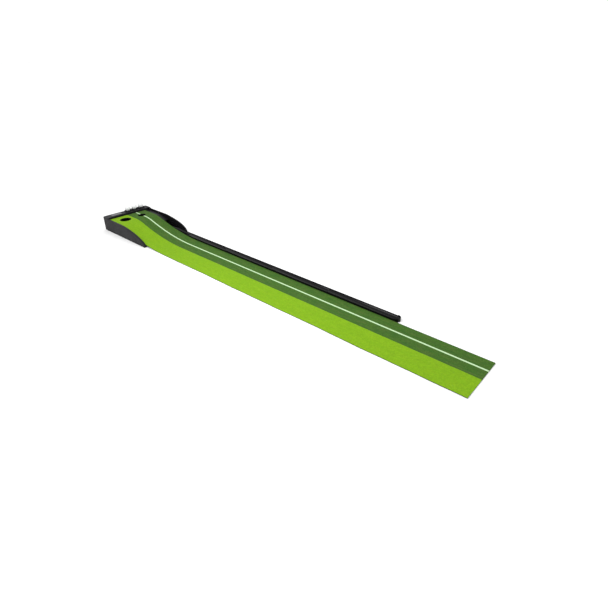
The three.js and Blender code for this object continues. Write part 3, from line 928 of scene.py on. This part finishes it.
@dataclass
class PuttingMat:
    """The turf strip: a rubber sheet with bands of pile on it, laid over the deck and the floor."""

    ramp: Ramp
    holes: list[Circle]
    groups: Groups
    backing: float = 2.5 * MM
    pile: float = 3.5 * MM
    cell: float = 3.0 * MM
    sheet_cell: float = 7.0 * MM
    edge_wave: tuple[tuple[float, float, float], ...] = (
        (1.1 * MM, 0.83, 0.4),
        (0.7 * MM, 0.47, 2.1),
        (0.4 * MM, 0.19, 1.0),
    )
    edge_lift: float = 0.9 * MM
    lift_wave: tuple[float, float] = (9.0, 0.6)
    free_from: float = 0.65
    freed_over: float = 0.5
    tuft_height: float = 0.45 * MM
    clump: float = 6 * MM
    shoulder: float = 0.9 * MM
    shoulder_width: float = 1.6 * MM
    pile_angle: float = 70.0
    fibre_spacing: float = 0.8 * MM
    fibre_thickness: float = 0.16 * MM
    fibre_reach: tuple[float, float] = (0.9, 1.7)  # millimetres
    fibre_seed: int = 11
    track_play: float = 160 * MM

    def __post_init__(self) -> None:
        """Reads the strip's place from the frame."""
        self.low, self.high = (np.array(corner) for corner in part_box("mat_backing"))

    def settled(self, plan: Array, height: Array) -> Array:
        """Lays plan points on the ramp and the floor at a height above the mat's underside.

        The near edge wanders by a few sines, which fade to nothing at the far edge and on the deck, and
        lifts off the floor a little in long waves.

        Args:
            plan: Points (x, y) of the flat strip.
            height: Height of each point above the underside.

        Returns:
            The points in space.
        """
        free = np.clip((plan[:, 0] - self.ramp.rear - self.free_from) / self.freed_over, 0, 1)
        near = np.clip((self.high[1] - plan[:, 1]) / (self.high[1] - self.low[1]), 0, 1)
        wander = wavy(plan[:, 0], self.edge_wave) * free * near**2
        rate, phase = self.lift_wave
        lift = self.edge_lift * free * near**14 * (0.5 + 0.5 * np.sin(plan[:, 0] * rate + phase))
        z = self.ramp.at(plan[:, 0]) + height + lift
        return np.stack([plan[:, 0], plan[:, 1] - wander, z], axis=1)

    def lines(self, low: float, high: float, cell: float) -> Array:
        """Evenly spaced lines from low to high, about a cell apart."""
        return np.linspace(low, high, max(2, round((high - low) / cell) + 1))

    def sheet(self) -> Object:
        """The rubber backing, a sheet as thick as the backing, with both holes in it."""
        xs = self.lines(self.low[0], self.high[0], self.sheet_cell)
        ys = self.lines(self.low[1], self.high[1], self.sheet_cell)
        plan, quads = holed_net(xs, ys, self.holes)
        flat = np.zeros(len(plan))
        surface = slab(self.settled(plan, flat + self.backing), self.settled(plan, flat), quads)
        material = MAT_RUBBER.material(self.groups)
        piece = Piece("mat_sheet", material, "mat", "mat_rubber", ("mat_backing",))
        return piece.skinned(surface, weld=False)

    def edge_distance(self, plan: Array) -> Array:
        """Distance of each plan point from the nearest cut edge of the mat."""
        sides = [plan[:, 0] - self.low[0], self.high[0] - plan[:, 0]]
        sides += [plan[:, 1] - self.low[1], self.high[1] - plan[:, 1]]
        sides += [hole.distance(plan) - hole.radius for hole in self.holes]
        return np.maximum(np.min(sides, axis=0), 0)

    def band(self, name: str, node: str, finish: Material, slot: str) -> Object:
        """One band of pile over a CAD node's stretch of the mat.

        Each point's height is the pile's, less a shoulder near the cut edges, less a share of the tufts'
        height that is random at each point and in each clump. That share is the mask for the finish.

        Args:
            name: The piece's name.
            node: The CAD node that it stands for.
            finish: Its material.
            slot: Its material slot name.

        Returns:
            The piece.
        """
        low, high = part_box(node)
        xs = self.lines(low[0], high[0], self.cell)
        ys = self.lines(low[1], high[1], self.cell)
        plan, quads = holed_net(xs, ys, self.holes)
        clumps = np.round(plan / self.clump) * self.clump
        tuft = 0.6 * hashed(plan, 0.0) + 0.4 * hashed(clumps, 4.0)
        shoulder = self.shoulder * np.exp(-self.edge_distance(plan) / self.shoulder_width)
        height = self.backing + self.pile - self.tuft_height * (1 - tuft) - shoulder
        bottom = self.settled(plan, np.full(len(plan), self.backing + 0.02 * MM))
        surface = slab(self.settled(plan, height), bottom, quads)
        # mask: each tuft's height on top and 0 underneath; the turf finish paints shade where it is low
        surface.mask = np.concatenate([tuft, 0 * tuft])
        return Piece(name, finish, "mat", slot, (node,), self.pile_angle).skinned(surface, weld=False)

    def fibres(self, name: str, sides: tuple[float, float], finish: Material, slot: str) -> Object:
        """Loose fibre ends along the cut edges, each a thin three-sided spike.

        Args:
            name: The piece's name.
            sides: The two long lines of the mat that they lie between.
            finish: Their material.
            slot: Its material slot name.

        Returns:
            The piece.
        """
        roots, outward = self.edge_roots(*sides)
        count = len(roots)
        random = np.random.default_rng(self.fibre_seed)
        base_height = self.backing + self.pile * random.uniform(0.25, 0.8, count)
        base = self.settled(roots - outward * 0.5 * MM, base_height)
        turn = random.uniform(-0.9, 0.9, count)
        side = np.stack([-outward[:, 1], outward[:, 0]], axis=1)
        lean = outward * np.cos(turn)[:, None] + side * np.sin(turn)[:, None]
        rise = random.uniform(0.1, 0.9, count)
        reach = random.uniform(*self.fibre_reach, count)[:, None] * MM
        tip = base + np.concatenate([lean, rise[:, None]], axis=1) * reach
        up = np.array([0.0, 0.0, self.fibre_thickness])
        across = np.concatenate([side, np.zeros((count, 1))], axis=1) * self.fibre_thickness
        corners = (base + up, base - up + across, base - up - across, tip)
        start = 4 * np.arange(count)[:, None]
        faces = np.concatenate([start + s for s in ([0, 1, 3], [1, 2, 3], [2, 0, 3], [0, 2, 1])])
        points = np.stack(corners, axis=1).reshape(-1, 3)
        # mask: 0.3 at each fibre's base and 1 at its tip, so the turf finish paints shade at the base
        surface = Surface(points, [faces], np.tile([0.3, 0.3, 0.3, 1.0], count))
        return Piece(name, finish, "mat", slot, (), self.pile_angle).skinned(surface, weld=False)

    def edge_roots(self, low_y: float, high_y: float) -> tuple[Array, Array]:
        """Plan points and outward vectors along the cut edges between two long lines of the mat.

        The far edge has none beside the track, which lies against it, nor as far as the track pulls out.

        Args:
            low_y: Near line.
            high_y: Far line.

        Returns:
            The points, and the unit vectors.
        """
        spacing = self.fibre_spacing
        roots, out = [], []
        for edge, way in ((self.low[1], -1.0), (self.high[1], 1.0)):
            if low_y - 1e-6 <= edge <= high_y + 1e-6:
                x = np.arange(self.low[0], self.high[0], spacing)
                if way > 0:
                    start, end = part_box("track_section_1")[0][0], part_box("track_end_stop")[1][0]
                    x = x[(x < start) | (x > end + self.track_play)]
                roots.append(np.stack([x, np.full(len(x), edge)], axis=1))
                out.append(np.tile([0.0, way], (len(x), 1)))
        for edge, way in ((self.low[0], -1.0), (self.high[0], 1.0)):
            y = np.arange(low_y, high_y, spacing)
            roots.append(np.stack([np.full(len(y), edge), y], axis=1))
            out.append(np.tile([way, 0.0], (len(y), 1)))
        for hole in self.holes:
            angle = np.arange(0, 2 * math.pi, spacing / hole.radius)
            toward = -np.stack([np.cos(angle), np.sin(angle)], axis=1)
            rim = (hole.x, hole.y) - toward * hole.radius
            inside = (rim[:, 1] >= low_y) & (rim[:, 1] <= high_y)
            roots.append(rim[inside])
            out.append(toward[inside])
        return np.concatenate(roots), np.concatenate(out)

    def build(self) -> list[Object]:
        """Makes the sheet, its bands of pile and the fibres along its cut edges."""
        light = LIGHT_TURF.material(self.groups)
        dark = DARK_TURF.material(self.groups)
        line = LINE_TURF.material(self.groups)
        sheet = self.sheet()
        on_sheet = [
            self.band("light_pile", "turf_light", light, "turf_light"),
            self.band("dark_pile_inner", "turf_dark_inner", dark, "turf_dark"),
            self.band("dark_pile_outer", "turf_dark_outer", dark, "turf_dark"),
            self.band("line_pile", "aim_line", line, "turf_line"),
            self.band("line_pile_rear", "aim_line_rear", line, "turf_line"),
        ]
        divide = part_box("turf_light")[1][1]
        on_sheet += [
            self.fibres("light_fibres", (self.low[1], divide), light, "turf_light"),
            self.fibres("dark_fibres", (divide, self.high[1]), dark, "turf_dark"),
        ]
        x = self.lines(self.low[0], self.high[0], 2 * MM)
        length = float(np.hypot(np.diff(x), np.diff(self.ramp.at(x))).sum())
        return [sheet, *on_sheet]


# ---- the housing --------------------------------------------------------------------------------
def corner(across: Array | float, height: Array) -> Array:
    """One corner of every section of a panel: a row of (across, height) pairs."""
    return np.stack([across + 0 * height, height], axis=-1)[None]


@dataclass(frozen=True)
class Cheek:
    """A side panel: a thin skin with a rounded rear corner and a wider rim rolled along its top."""

    name: str
    node: str
    outer: float
    inward: float
    top: float
    curve: Curve
    rim: float
    rim_low: float
    rear: float
    rack_depth: float = 0.068
    rack_height: float = 0.105
    ease: float = 0.018
    wall: float = 3 * MM
    corner: float = 17 * MM
    bottom: float = 2 * MM
    rim_round: float = 2.4 * MM
    inner_round: float = 1.2 * MM
    edge: float = 0.5 * MM
    tab_reach: float = 10 * MM
    tab_half: float = 8 * MM
    tab_heights: tuple[float, float] = (4.8 * MM, 10.8 * MM)

    def outline(self) -> Array:
        """Top line as (x from the rear, z): level, an eased step down, level, then a cubic curve."""
        step = np.linspace(0, 1, 9)
        height = self.rack_height + (self.top - self.rack_height) * eased(step)
        down = np.stack([self.rack_depth + self.ease * step, height], axis=1)
        t = np.linspace(0, 1, 56)[:, None]
        a, b, c, d = (np.array(point) for point in self.curve)
        nose = (1 - t) ** 3 * a + 3 * (1 - t) ** 2 * t * b + 3 * (1 - t) * t**2 * c + t**3 * d
        return np.vstack([[[0.0, self.rack_height]], down, nose])

    def sections(self) -> tuple[Array, Array, Array]:
        """Plan points of the outer face from the rear corner to the nose, with the way inwards.

        Returns:
            The x of each section, its plan point, and the unit vector inwards.
        """
        line = self.outline()
        nose = line[-1, 0]
        angle = np.linspace(0, math.pi / 2, 11)[:-1]
        straight = np.unique(
            np.concatenate([np.linspace(self.corner, nose, 90), line[line[:, 0] > self.corner, 0]])
        )
        straight = np.sort(np.append(straight, self.rack_depth + 1e-5))
        arc = np.stack([self.corner * (1 - np.cos(angle)), self.corner * (1 - np.sin(angle))], axis=1)
        plan = np.vstack([arc, np.stack([straight, np.zeros(len(straight))], axis=1)])
        way = np.stack([np.cos(angle), np.sin(angle)], axis=1)
        ways = np.vstack([way, np.tile([0.0, 1.0], (len(straight), 1))])
        return plan[:, 0], plan, ways

    def surface(self) -> Surface:
        """The panel: at each section a ring runs up the outer face, over the rim and down the inside.

        The rim reaches in as far as the corner's radius beside the rack. The mask marks the outer face.
        """
        along, plan, ways = self.sections()
        line = self.outline()
        top = np.interp(along, line[:, 0], line[:, 1])
        under = np.interp(along + self.wall, line[:, 0], line[:, 1]) - self.wall
        past = np.clip((along + self.wall - line[-1, 0]) / self.wall, 0, 1)
        under = np.where(past > 0, np.minimum(under, line[-1, 1] - self.wall), under)
        under = np.maximum(under, max(self.rim_low, self.bottom + 1.0 * MM))
        shown = np.clip((top - under) / self.wall, 0, 1)
        full = np.where(along <= self.rack_depth + 1e-9, self.corner, self.rim)
        rim = self.wall + 0.2 * MM + (full - self.wall - 0.2 * MM) * shown
        under = np.minimum(under, top - 1.0 * MM)
        big = np.minimum(self.rim_round, (top - self.bottom) / 4)
        small = np.minimum(self.inner_round, np.minimum((top - under) / 3, rim / 5))
        fillet = np.minimum(1.5 * MM, np.minimum((under - self.bottom) / 3, (rim - self.wall) / 2))
        (big_in, big_out), (small_in, small_out) = quarter_round(big, 6), quarter_round(small, 6)
        fillet_in, fillet_out = quarter_round(fillet, 6)
        floor = np.full_like(top, self.bottom)
        ring = [
            corner(self.edge, floor),
            corner(0.0, floor + self.edge),
            np.stack([big_out, top - big_in], axis=-1),
            np.stack([rim - small_in, top - small_out], axis=-1),
            corner(rim, under + 0.3 * small),
            corner(rim - 0.3 * small, under),
            np.stack([self.wall + fillet_in, under - fillet_out], axis=-1),
            corner(self.wall, floor + self.edge),
            corner(self.wall - self.edge, floor),
        ]
        section = np.concatenate(ring).transpose(1, 0, 2)
        inward = section[..., :1] * ways[:, None]
        flat = plan[:, None] + inward
        x = self.rear + flat[..., 0]
        y = self.outer + self.inward * flat[..., 1]
        surface = swept(np.stack([x, y, section[..., 1]], axis=-1))
        outside = np.zeros(section.shape[1])
        outside[:6] = 1  # the outer face, up into the rim's round
        outside[6:8] = 0.4  # the rest of the round fades into the plain top
        surface.mask = np.tile(outside, len(along))
        return surface

    def tabs(self) -> Surface:
        """The screw tabs inside the foot of the panel, one over each of its screws."""
        row = "near" if self.inward > 0 else "far"
        ends = (self.wall - 0.2 * MM, self.wall + self.tab_reach)
        (y0, y1), (z0, z1) = sorted(self.outer + self.inward * end for end in ends), self.tab_heights
        centres = [Circle.of(f"screw_{row}_{number}").x for number in (1, 2, 3)]
        blocks = [
            brick((x - self.tab_half, y0, z0), (x + self.tab_half, y1, z1), 0.6 * MM) for x in centres
        ]
        return blocks[0] + blocks[1] + blocks[2]

    def build(self, material: Material) -> Object:
        """Makes the panel with its tabs."""
        piece = Piece(self.name, material, "housing", "housing_plastic", (self.node,))
        return piece.skinned(self.surface() + self.tabs())


@dataclass(frozen=True)
class BallRack:
    """The shelf across the rear: a box with a ridge on it that the balls sit in."""

    edge: float = 2.2 * MM
    end_edge: float = 1.0 * MM
    ridge: float = 8 * MM
    half_width: float = 17 * MM
    ridge_end: float = 27 * MM
    slant: float = 5 * MM
    step: float = 0.9 * MM

    def relief(self, x: Array, y: Array, flat: float) -> Array:
        """Height of the shelf's top: level, a smooth-sided ridge, and a ball's underside in each scoop.

        Args:
            x: Places across the shelf.
            y: Places along it.
            flat: Height of its level top.

        Returns:
            The height at each place.
        """
        boxes = [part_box(f"ball_{number}") for number in (1, 2, 3)]
        centres = np.array([[(a + b) / 2 for a, b in zip(low, high)] for low, high in boxes])
        radius = float(boxes[0][1][2] - boxes[0][0][2]) / 2 + FIT_GAP
        across = np.clip((self.half_width - np.abs(x - centres[0, 0])) / self.slant, 0, 1)
        middle = (centres[0, 1] + centres[-1, 1]) / 2
        half_length = (centres[-1, 1] - centres[0, 1]) / 2 + self.ridge_end
        along = np.clip((half_length - np.abs(y - middle)) / self.slant, 0, 1)
        height = flat + self.ridge * eased(across) * eased(along)
        for centre in centres:
            away = (x - centre[0]) ** 2 + (y - centre[1]) ** 2
            under = centre[2] - np.sqrt(np.maximum(radius**2 - away, 0))
            height = np.where(away < radius**2, np.minimum(height, under), height)
        return height

    def build(self, material: Material, plate: Material) -> None:
        """Makes the shelf and its grey plate."""
        (x0, y0, z0), (x1, y1, _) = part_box("ball_rack")
        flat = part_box("rack_plate")[0][2]
        drop, across = quarter_round(self.edge, 6)
        top_x = np.arange(x0 + self.edge, x1 - self.edge, self.step)[1:]
        xs = np.concatenate([x0 + across, top_x, x1 - across[::-1]])
        fall = np.concatenate([-drop, 0 * top_x, -drop[::-1]])
        ends, end_y = quarter_round(self.end_edge, 6)
        ys = np.concatenate([y0 + end_y, np.arange(y0 + 1.5 * self.end_edge, y1 - self.end_edge, self.step)])
        ys = np.concatenate([ys, (y1 - end_y)[::-1]])
        inset = np.concatenate([ends, np.zeros(len(ys) - 2 * len(ends)), ends[::-1]])[:, None]
        grid_x, grid_y = np.meshgrid(xs, ys)
        grid_z = self.relief(grid_x, grid_y, flat) + fall
        foot_x = np.stack([np.full(len(ys), x1), np.full(len(ys), x0)], axis=1)
        ring_x = np.clip(np.concatenate([grid_x, foot_x], axis=1), x0 + inset, x1 - inset)
        ring_z = np.concatenate([grid_z - inset, np.full((len(ys), 2), z0) + inset], axis=1)
        ring_y = np.repeat(ys[:, None], ring_x.shape[1], axis=1)
        surface = swept(np.stack([ring_x, ring_y, ring_z], axis=-1))
        surface.mask = np.clip((x0 + self.edge - ring_x.ravel()) / self.edge, 0, 1)
        Piece("ball_shelf", material, "housing", "housing_plastic", ("ball_rack",)).skinned(surface)
        low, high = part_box("rack_plate")
        corners = np.array([[low[0], low[1]], [high[0], low[1]], [high[0], high[1]], [low[0], high[1]]])
        plate_surface = moulded(rounded(corners, 3 * MM, 6), low[2], high[2], 0.4 * MM, Axis.Z)
        Piece("grey_plate", plate, "housing", "plate_grey", ("rack_plate",)).skinned(plate_surface)


@dataclass(frozen=True)
class GolfBall:
    """A dimpled ball in its scoop."""

    number: int
    dimples: int = 336
    dimple_radius: float = 1.72 * MM
    dimple_depth: float = 0.24 * MM
    rows: int = 141
    columns: int = 280

    def build(self, material: Material) -> Object:
        """Makes the ball: a sphere's grid drawn in by a shallow dish round each dimple's centre.

        The centres follow a spiral that spreads them evenly over the sphere.
        """
        low, high = (np.array(corner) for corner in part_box(f"ball_{self.number}"))
        centre, radius = (low + high) / 2, float(high[2] - low[2]) / 2
        polar = np.linspace(0, math.pi, self.rows)[:, None]
        about = np.linspace(0, 2 * math.pi, self.columns, endpoint=False)[None, :]
        ways = np.stack(
            [np.sin(polar) * np.cos(about), np.sin(polar) * np.sin(about), np.cos(polar) + 0 * about],
            axis=-1,
        )
        rank = np.arange(self.dimples) + 0.5
        height = 1 - 2 * rank / self.dimples
        turn = rank * math.pi * (3 - math.sqrt(5)) + self.number
        ring = np.sqrt(1 - height**2)
        centres = np.stack([ring * np.cos(turn), ring * np.sin(turn), height]).astype(np.float32)
        nearest = (ways.reshape(-1, 3).astype(np.float32) @ centres).max(axis=1).reshape(ways.shape[:2])
        away = np.arccos(np.clip(nearest, -1, 1)) * radius / self.dimple_radius
        dish = self.dimple_depth * np.clip(1 - away**2, 0, 1) ** 0.8
        points = centre + ways * (radius - dish)[..., None]
        surface = Surface(points.reshape(-1, 3), [lattice(self.rows, self.columns, True)])
        body = node = f"ball_{self.number}"
        return Piece(f"golf_ball_{self.number}", material, body, "ball_cover", (node,), 60).skinned(surface)


@dataclass(frozen=True)
class CupRing:
    """The sleeve that lines a hole: a short tube with a rounded lip."""

    size: str
    wall: float = 1.7 * MM
    lip: float = 0.8 * MM

    def build(self, material: Material) -> Object:
        """Makes the ring by turning its section about the hole's axis."""
        node = f"cup_ring_{self.size}"
        low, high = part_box(node)
        place = Circle.of(node)
        outer, inner = place.radius, place.radius - self.wall
        corners = np.array([[inner, low[2]], [outer, low[2]], [outer, high[2]], [inner, high[2]]])
        section = rounded(corners, np.array([0.3 * MM, 0.3 * MM, self.lip, self.lip]), 5)
        piece = Piece(f"{self.size}_cup_sleeve", material, "housing", "inner_plastic", (node,))
        return piece.skinned(turned(section, place, 96))


@dataclass(frozen=True)
class Foot:
    """A rubber pad with two rings moulded into its tread."""

    number: int
    edge: float = 0.5 * MM
    groove: float = 0.35 * MM
    spacing: float = 1.5 * MM

    def build(self, material: Material) -> Object:
        """Makes the pad by turning its section about its axis."""
        node = f"foot_{self.number}"
        low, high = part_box(node)
        place = Circle.of(node)
        tread = np.linspace(0, place.radius - self.edge, 40)
        depth = self.groove * np.clip(np.sin(tread * math.pi / self.spacing), 0, 1)
        fall, rise = quarter_round(self.edge, 5)
        lower = np.stack([place.radius - fall, low[2] + rise], 1)
        upper = np.stack([place.radius - rise, high[2] - fall], 1)
        profile = np.vstack([np.stack([tread, low[2] + depth], 1), lower, upper, [[0.0, high[2]]]])
        profile[0, 0] = 0.0
        piece = Piece(f"rubber_pad_{self.number}", material, "housing", "foot_rubber", (node,))
        return piece.skinned(turned(profile, place))


@dataclass(frozen=True)
class Screw:
    """A pan-head screw driven up from below, with a cross recess."""

    node: str
    shank: float = 2.0 * MM
    thread: float = 0.28 * MM
    pitch: float = 1.2 * MM
    flat: float = 0.78
    face_steps: int = 12
    body_steps: int = 46
    segments: int = 60

    def build(self, material: Material) -> Object:
        """Makes the screw as a turned surface whose radius and height also change with the angle.

        The head's face is pressed in along two crossed bars; the shank's radius swells in a helix.
        """
        low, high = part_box(self.node)
        place = Circle.of(self.node)
        head, bottom, seat = place.radius, low[2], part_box("base_plate")[0][2]
        dome = np.linspace(0, math.pi / 2, 7)[1:]
        face = self.flat * head
        head_r = [np.linspace(0, face, self.face_steps), face + (1 - self.flat) * head * np.sin(dome)]
        head_z = [np.full(self.face_steps, bottom), bottom + (seat - bottom) * (1 - np.cos(dome)) * 0.95]
        under_head = seat - 0.02 * MM
        body_z = np.linspace(under_head, high[2] - self.shank, self.body_steps)
        body_r = np.full(self.body_steps, self.shank - self.thread)
        profile_r = np.concatenate([*head_r, [self.shank], body_r, [0.0]])
        profile_z = np.concatenate([*head_z, [under_head], body_z, [high[2]]])
        threaded = (profile_z > seat) & (profile_z < high[2] - 0.5 * self.shank)
        angle = np.linspace(0, 2 * math.pi, self.segments + 1)[:, None]
        helix = 0.5 + 0.5 * np.cos(2 * math.pi * profile_z[None] / self.pitch - angle)
        radius = profile_r[None] + np.where(threaded, self.thread * helix**2, 0)
        px, py = radius * np.cos(angle), radius * np.sin(angle)
        bar = (np.minimum(np.abs(px), np.abs(py)) < 0.5 * MM) & (radius < 0.62 * head)
        on_face = np.arange(len(profile_r))[None] < self.face_steps
        pz = profile_z[None] + np.where(bar & on_face, 0.8 * MM, 0)
        points = np.stack([place.x + px, place.y + py, pz], axis=-1)
        faces = lattice(self.segments + 1, len(profile_r), False)
        name = self.node.replace("screw", "housing_screw")
        piece = Piece(name, material, "housing", "screw_steel", (self.node,), 45)
        return piece.skinned(Surface(points.reshape(-1, 3), [faces]))


@dataclass
class Housing:
    """The raised housing: cheeks, shelf, deck, base, sleeves, pads and screws."""

    groups: Groups
    near_curve: Curve = ((0.245, 0.096), (0.385, 0.096), (0.560, 0.050), (0.577, 0.009))
    far_curve: Curve = ((0.315, 0.098), (0.435, 0.086), (0.563, 0.070), (0.577, 0.010))
    near_rim: float = 17 * MM
    far_rim: float = 10 * MM
    channel_floor: float = 3.5 * MM
    edge: float = 0.5 * MM

    def build(self) -> None:
        """Makes every piece of the housing."""
        plastic = HOUSING_PLASTIC.material(self.groups)
        inner = INNER_PLASTIC.material(self.groups)
        near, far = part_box("near_cheek"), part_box("far_cheek")
        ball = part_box("ball_1")
        low = self.channel_floor + float(ball[1][2] - ball[0][2])  # the top of a ball in the channel
        rear = near[0][0]
        sides = (
            Cheek("near_side", "near_cheek", near[0][1], 1, 0.096, self.near_curve, self.near_rim, 0.0, rear),
            Cheek("far_side", "far_cheek", far[1][1], -1, 0.098, self.far_curve, self.far_rim, low, rear),
        )
        for side in sides:
            side.build(plastic)
        BallRack().build(plastic, PLATE_PLASTIC.material(self.groups))
        deck = Piece("ramp_deck_shell", plastic, "housing", "housing_plastic", ("ramp_deck",))
        pan = Piece("floor_pan", inner, "housing", "inner_plastic", ("base_plate",))
        for piece in (deck, pan):
            piece.softened(self.edge)
        for size in SLEEVES:
            CupRing(size).build(inner)
        rubber = FOOT_RUBBER.material(self.groups)
        for number in range(1, 5):
            Foot(number).build(rubber)
        steel = SCREW_STEEL.material(self.groups)
        for node in sorted(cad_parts):
            if node.startswith("screw_"):
                Screw(node).build(steel)


# ---- the ball return ----------------------------------------------------------------------------
@dataclass
class BallReturn:
    """The way back: chute and channel in the housing, then a track of sections and its end stop."""

    groups: Groups
    rim: float = 1.5 * MM
    radius: float = 26 * MM
    thickness: float = 2.2 * MM
    floor: float = 2.5 * MM
    peg_low: float = 0.6 * MM
    peg_high: float = 5.8 * MM
    peg_inner: float = 18 * MM
    peg_play: float = 0.4 * MM
    peg_length: float = 15 * MM
    peg_root: float = 8 * MM
    first_reach: float = 3.2 * MM
    edge: float = 0.5 * MM
    channel_edge: float = 0.4 * MM
    section_edge: float = 0.35 * MM
    crest: float = 0.7 * MM
    foot: float = 0.4 * MM

    def section_outline(self, half: float, height: float) -> Array:
        """Outline (y, z) of the trough about its own centre line.

        The balls roll on an arc between two upright rims; a second arc a wall's thickness lower closes
        the underside, and the rims reach down to the floor.

        Args:
            half: Half the trough's width.
            height: Height of its rims.

        Returns:
            The outline, with its rims rounded.
        """
        inner = half - self.rim
        centre = self.floor + self.radius
        outer_radius = self.radius + self.thickness
        limit, outer_limit = math.asin(inner / self.radius), math.asin(inner / outer_radius)
        angle, outer_angle = np.linspace(-limit, limit, 33), np.linspace(outer_limit, -outer_limit, 33)
        top = np.stack([self.radius * np.sin(angle), centre - self.radius * np.cos(angle)], axis=1)
        under = np.stack(
            [outer_radius * np.sin(outer_angle), centre - outer_radius * np.cos(outer_angle)], axis=1
        )
        left = np.array([[-inner, 0.0], [-half, 0.0], [-half, height], [-inner, height]])
        right = left[::-1] * (-1, 1)
        corners = np.vstack([left, top, right, under])
        ends = np.array([self.foot, self.foot, self.crest, self.crest])
        radii = np.concatenate([ends, 0 * angle, ends[::-1], 0 * outer_angle])
        return rounded(corners, radii, 5)

    def track(self, material: Material) -> None:
        """Makes the track's sections, each with the two pegs that plug into the next.

        The first reaches back to the channel's mouth.
        """
        for number in range(1, 5):
            node = f"track_section_{number}"
            low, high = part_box(node)
            middle, half = (low[1] + high[1]) / 2, (high[1] - low[1]) / 2
            end = high[0] - self.peg_length
            outline = self.section_outline(half, high[2] - low[2]) + (middle, low[2])
            start = low[0] - (self.first_reach if number == 1 else 0.0)
            surface = moulded(outline, start, end, self.section_edge, Axis.X)
            inner = half - self.rim
            for side in (-1, 1):
                free = sorted((middle + side * self.peg_inner, middle + side * (inner - self.peg_play)))
                low_end = (end - self.peg_root, free[0], self.peg_low)
                surface = surface + brick(low_end, (high[0], free[1], self.peg_high), self.edge)
            Piece(f"trough_{number}", material, node, "track_plastic", (node,)).skinned(surface)

    def build(self) -> None:
        """Makes the chute, the channel, the track and its end stop."""
        inner = INNER_PLASTIC.material(self.groups)
        black = TRACK_PLASTIC.material(self.groups)
        chute = Piece("return_chute", inner, "housing", "inner_plastic", ("ball_chute",))
        chute.softened(self.edge)
        outlet = Piece("outlet_trough", black, "housing", "track_plastic", ("outlet_channel",), 30)
        outlet.softened(self.channel_edge)
        stop = Piece("stop_cup", black, "end_stop", "track_plastic", ("track_end_stop",), 34)
        stop.softened(self.edge)
        self.track(black)


# ---- the stage ----------------------------------------------------------------------------------
@dataclass(frozen=True)
class Stage:
    """A plain pale floor, soft studio light and the camera."""

    camera_place: Colour = (1.9869, -1.6403, 1.3067)
    pitch: float = 26.33
    heading: float = 39.81
    lens_share: float = 454.7 / 608
    shift: tuple[float, float] = (-0.0383, -0.0502)
    floor_reach: float = 45.0
    floor_drop: float = 0.2 * MM
    sky: float = 1.12

    def camera(self) -> None:
        """Makes the camera; its lens is the focal length as a share of the picture's width."""
        data = bpy.data.cameras.new("camera")
        data.sensor_width = 36.0
        data.lens = self.lens_share * data.sensor_width
        data.shift_x, data.shift_y = self.shift
        data.clip_start, data.clip_end = 0.02, 200
        camera = bpy.data.objects.new("camera", data)
        camera.location = self.camera_place
        camera.rotation_euler = (math.radians(90 - self.pitch), 0, math.radians(self.heading))
        bpy.context.scene.collection.objects.link(camera)
        bpy.context.scene.camera = camera

    def floor(self, groups: Groups) -> None:
        """Makes the floor, a wide thin slab whose top lies just under z = 0."""
        ticks = np.linspace(-self.floor_reach, self.floor_reach, 7)
        plan = np.stack(np.meshgrid(ticks, ticks, indexing="ij"), axis=-1).reshape(-1, 2)
        top = np.column_stack([plan, np.full(len(plan), -self.floor_drop)])
        surface = slab(top, top - (0, 0, 0.05), lattice(7, 7, False))
        mesh = bpy.data.meshes.new("floor")
        mesh.from_pydata(surface.points.tolist(), [], np.concatenate(surface.faces).tolist())
        mesh.materials.append(FLOOR_PAINT.material(groups))
        floor = bpy.data.objects.new("floor", mesh)
        bpy.context.scene.collection.objects.link(floor)

    def lamp(self, name: str, place: Colour, target: Colour, size: float, power: float) -> None:
        """Makes a square soft box that faces a point.

        Args:
            name: The lamp's name.
            place: Where it hangs.
            target: The point that it faces.
            size: Length of its side.
            power: Its power in watts.
        """
        data = bpy.data.lights.new(name, "AREA")
        data.size, data.energy = size, power
        lamp = bpy.data.objects.new(name, data)
        lamp.location = place
        way = Vector(target) - Vector(place)
        lamp.rotation_euler = way.to_track_quat("-Z", "Y").to_euler()
        bpy.context.scene.collection.objects.link(lamp)

    def lights(self) -> None:
        """Makes the soft boxes and an even pale sky."""
        self.lamp("key", (0.15, -1.1, 1.7), (0.15, 0, 0), 1.2, 24)
        self.lamp("fill", (-2.2, 2.2, 3.0), (0, 0, 0), 3.0, 12)
        world = bpy.data.worlds.new("sky")
        world.use_nodes = True
        sky = next(n for n in world.node_tree.nodes if n.type == "BACKGROUND")
        sky.inputs["Color"].default_value = (1, 1, 1, 1)
        sky.inputs["Strength"].default_value = self.sky
        bpy.context.scene.world = world
        bpy.context.scene.view_settings.view_transform = "Standard"

    def build(self, groups: Groups) -> None:
        """Makes the camera, the floor and the lights."""
        self.camera()
        self.floor(groups)
        self.lights()


def main() -> None:
    """Builds the stage, the housing, the ball return, the balls and the mat."""
    logging.basicConfig(level=logging.INFO, format="%(name)s: %(message)s")
    groups = Groups.made()
    Stage().build(groups)
    Housing(groups).build()
    BallReturn(groups).build()
    cover = BALL_COVER.material(groups)
    for number in (1, 2, 3):
        GolfBall(number).build(cover)
    ramp = Ramp(rear=float(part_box("near_cheek")[0][0]))
    PuttingMat(ramp, [Circle.of(f"cup_ring_{size}", FIT_GAP) for size in SLEEVES], groups).build()


if __name__ == "__main__":
    main()
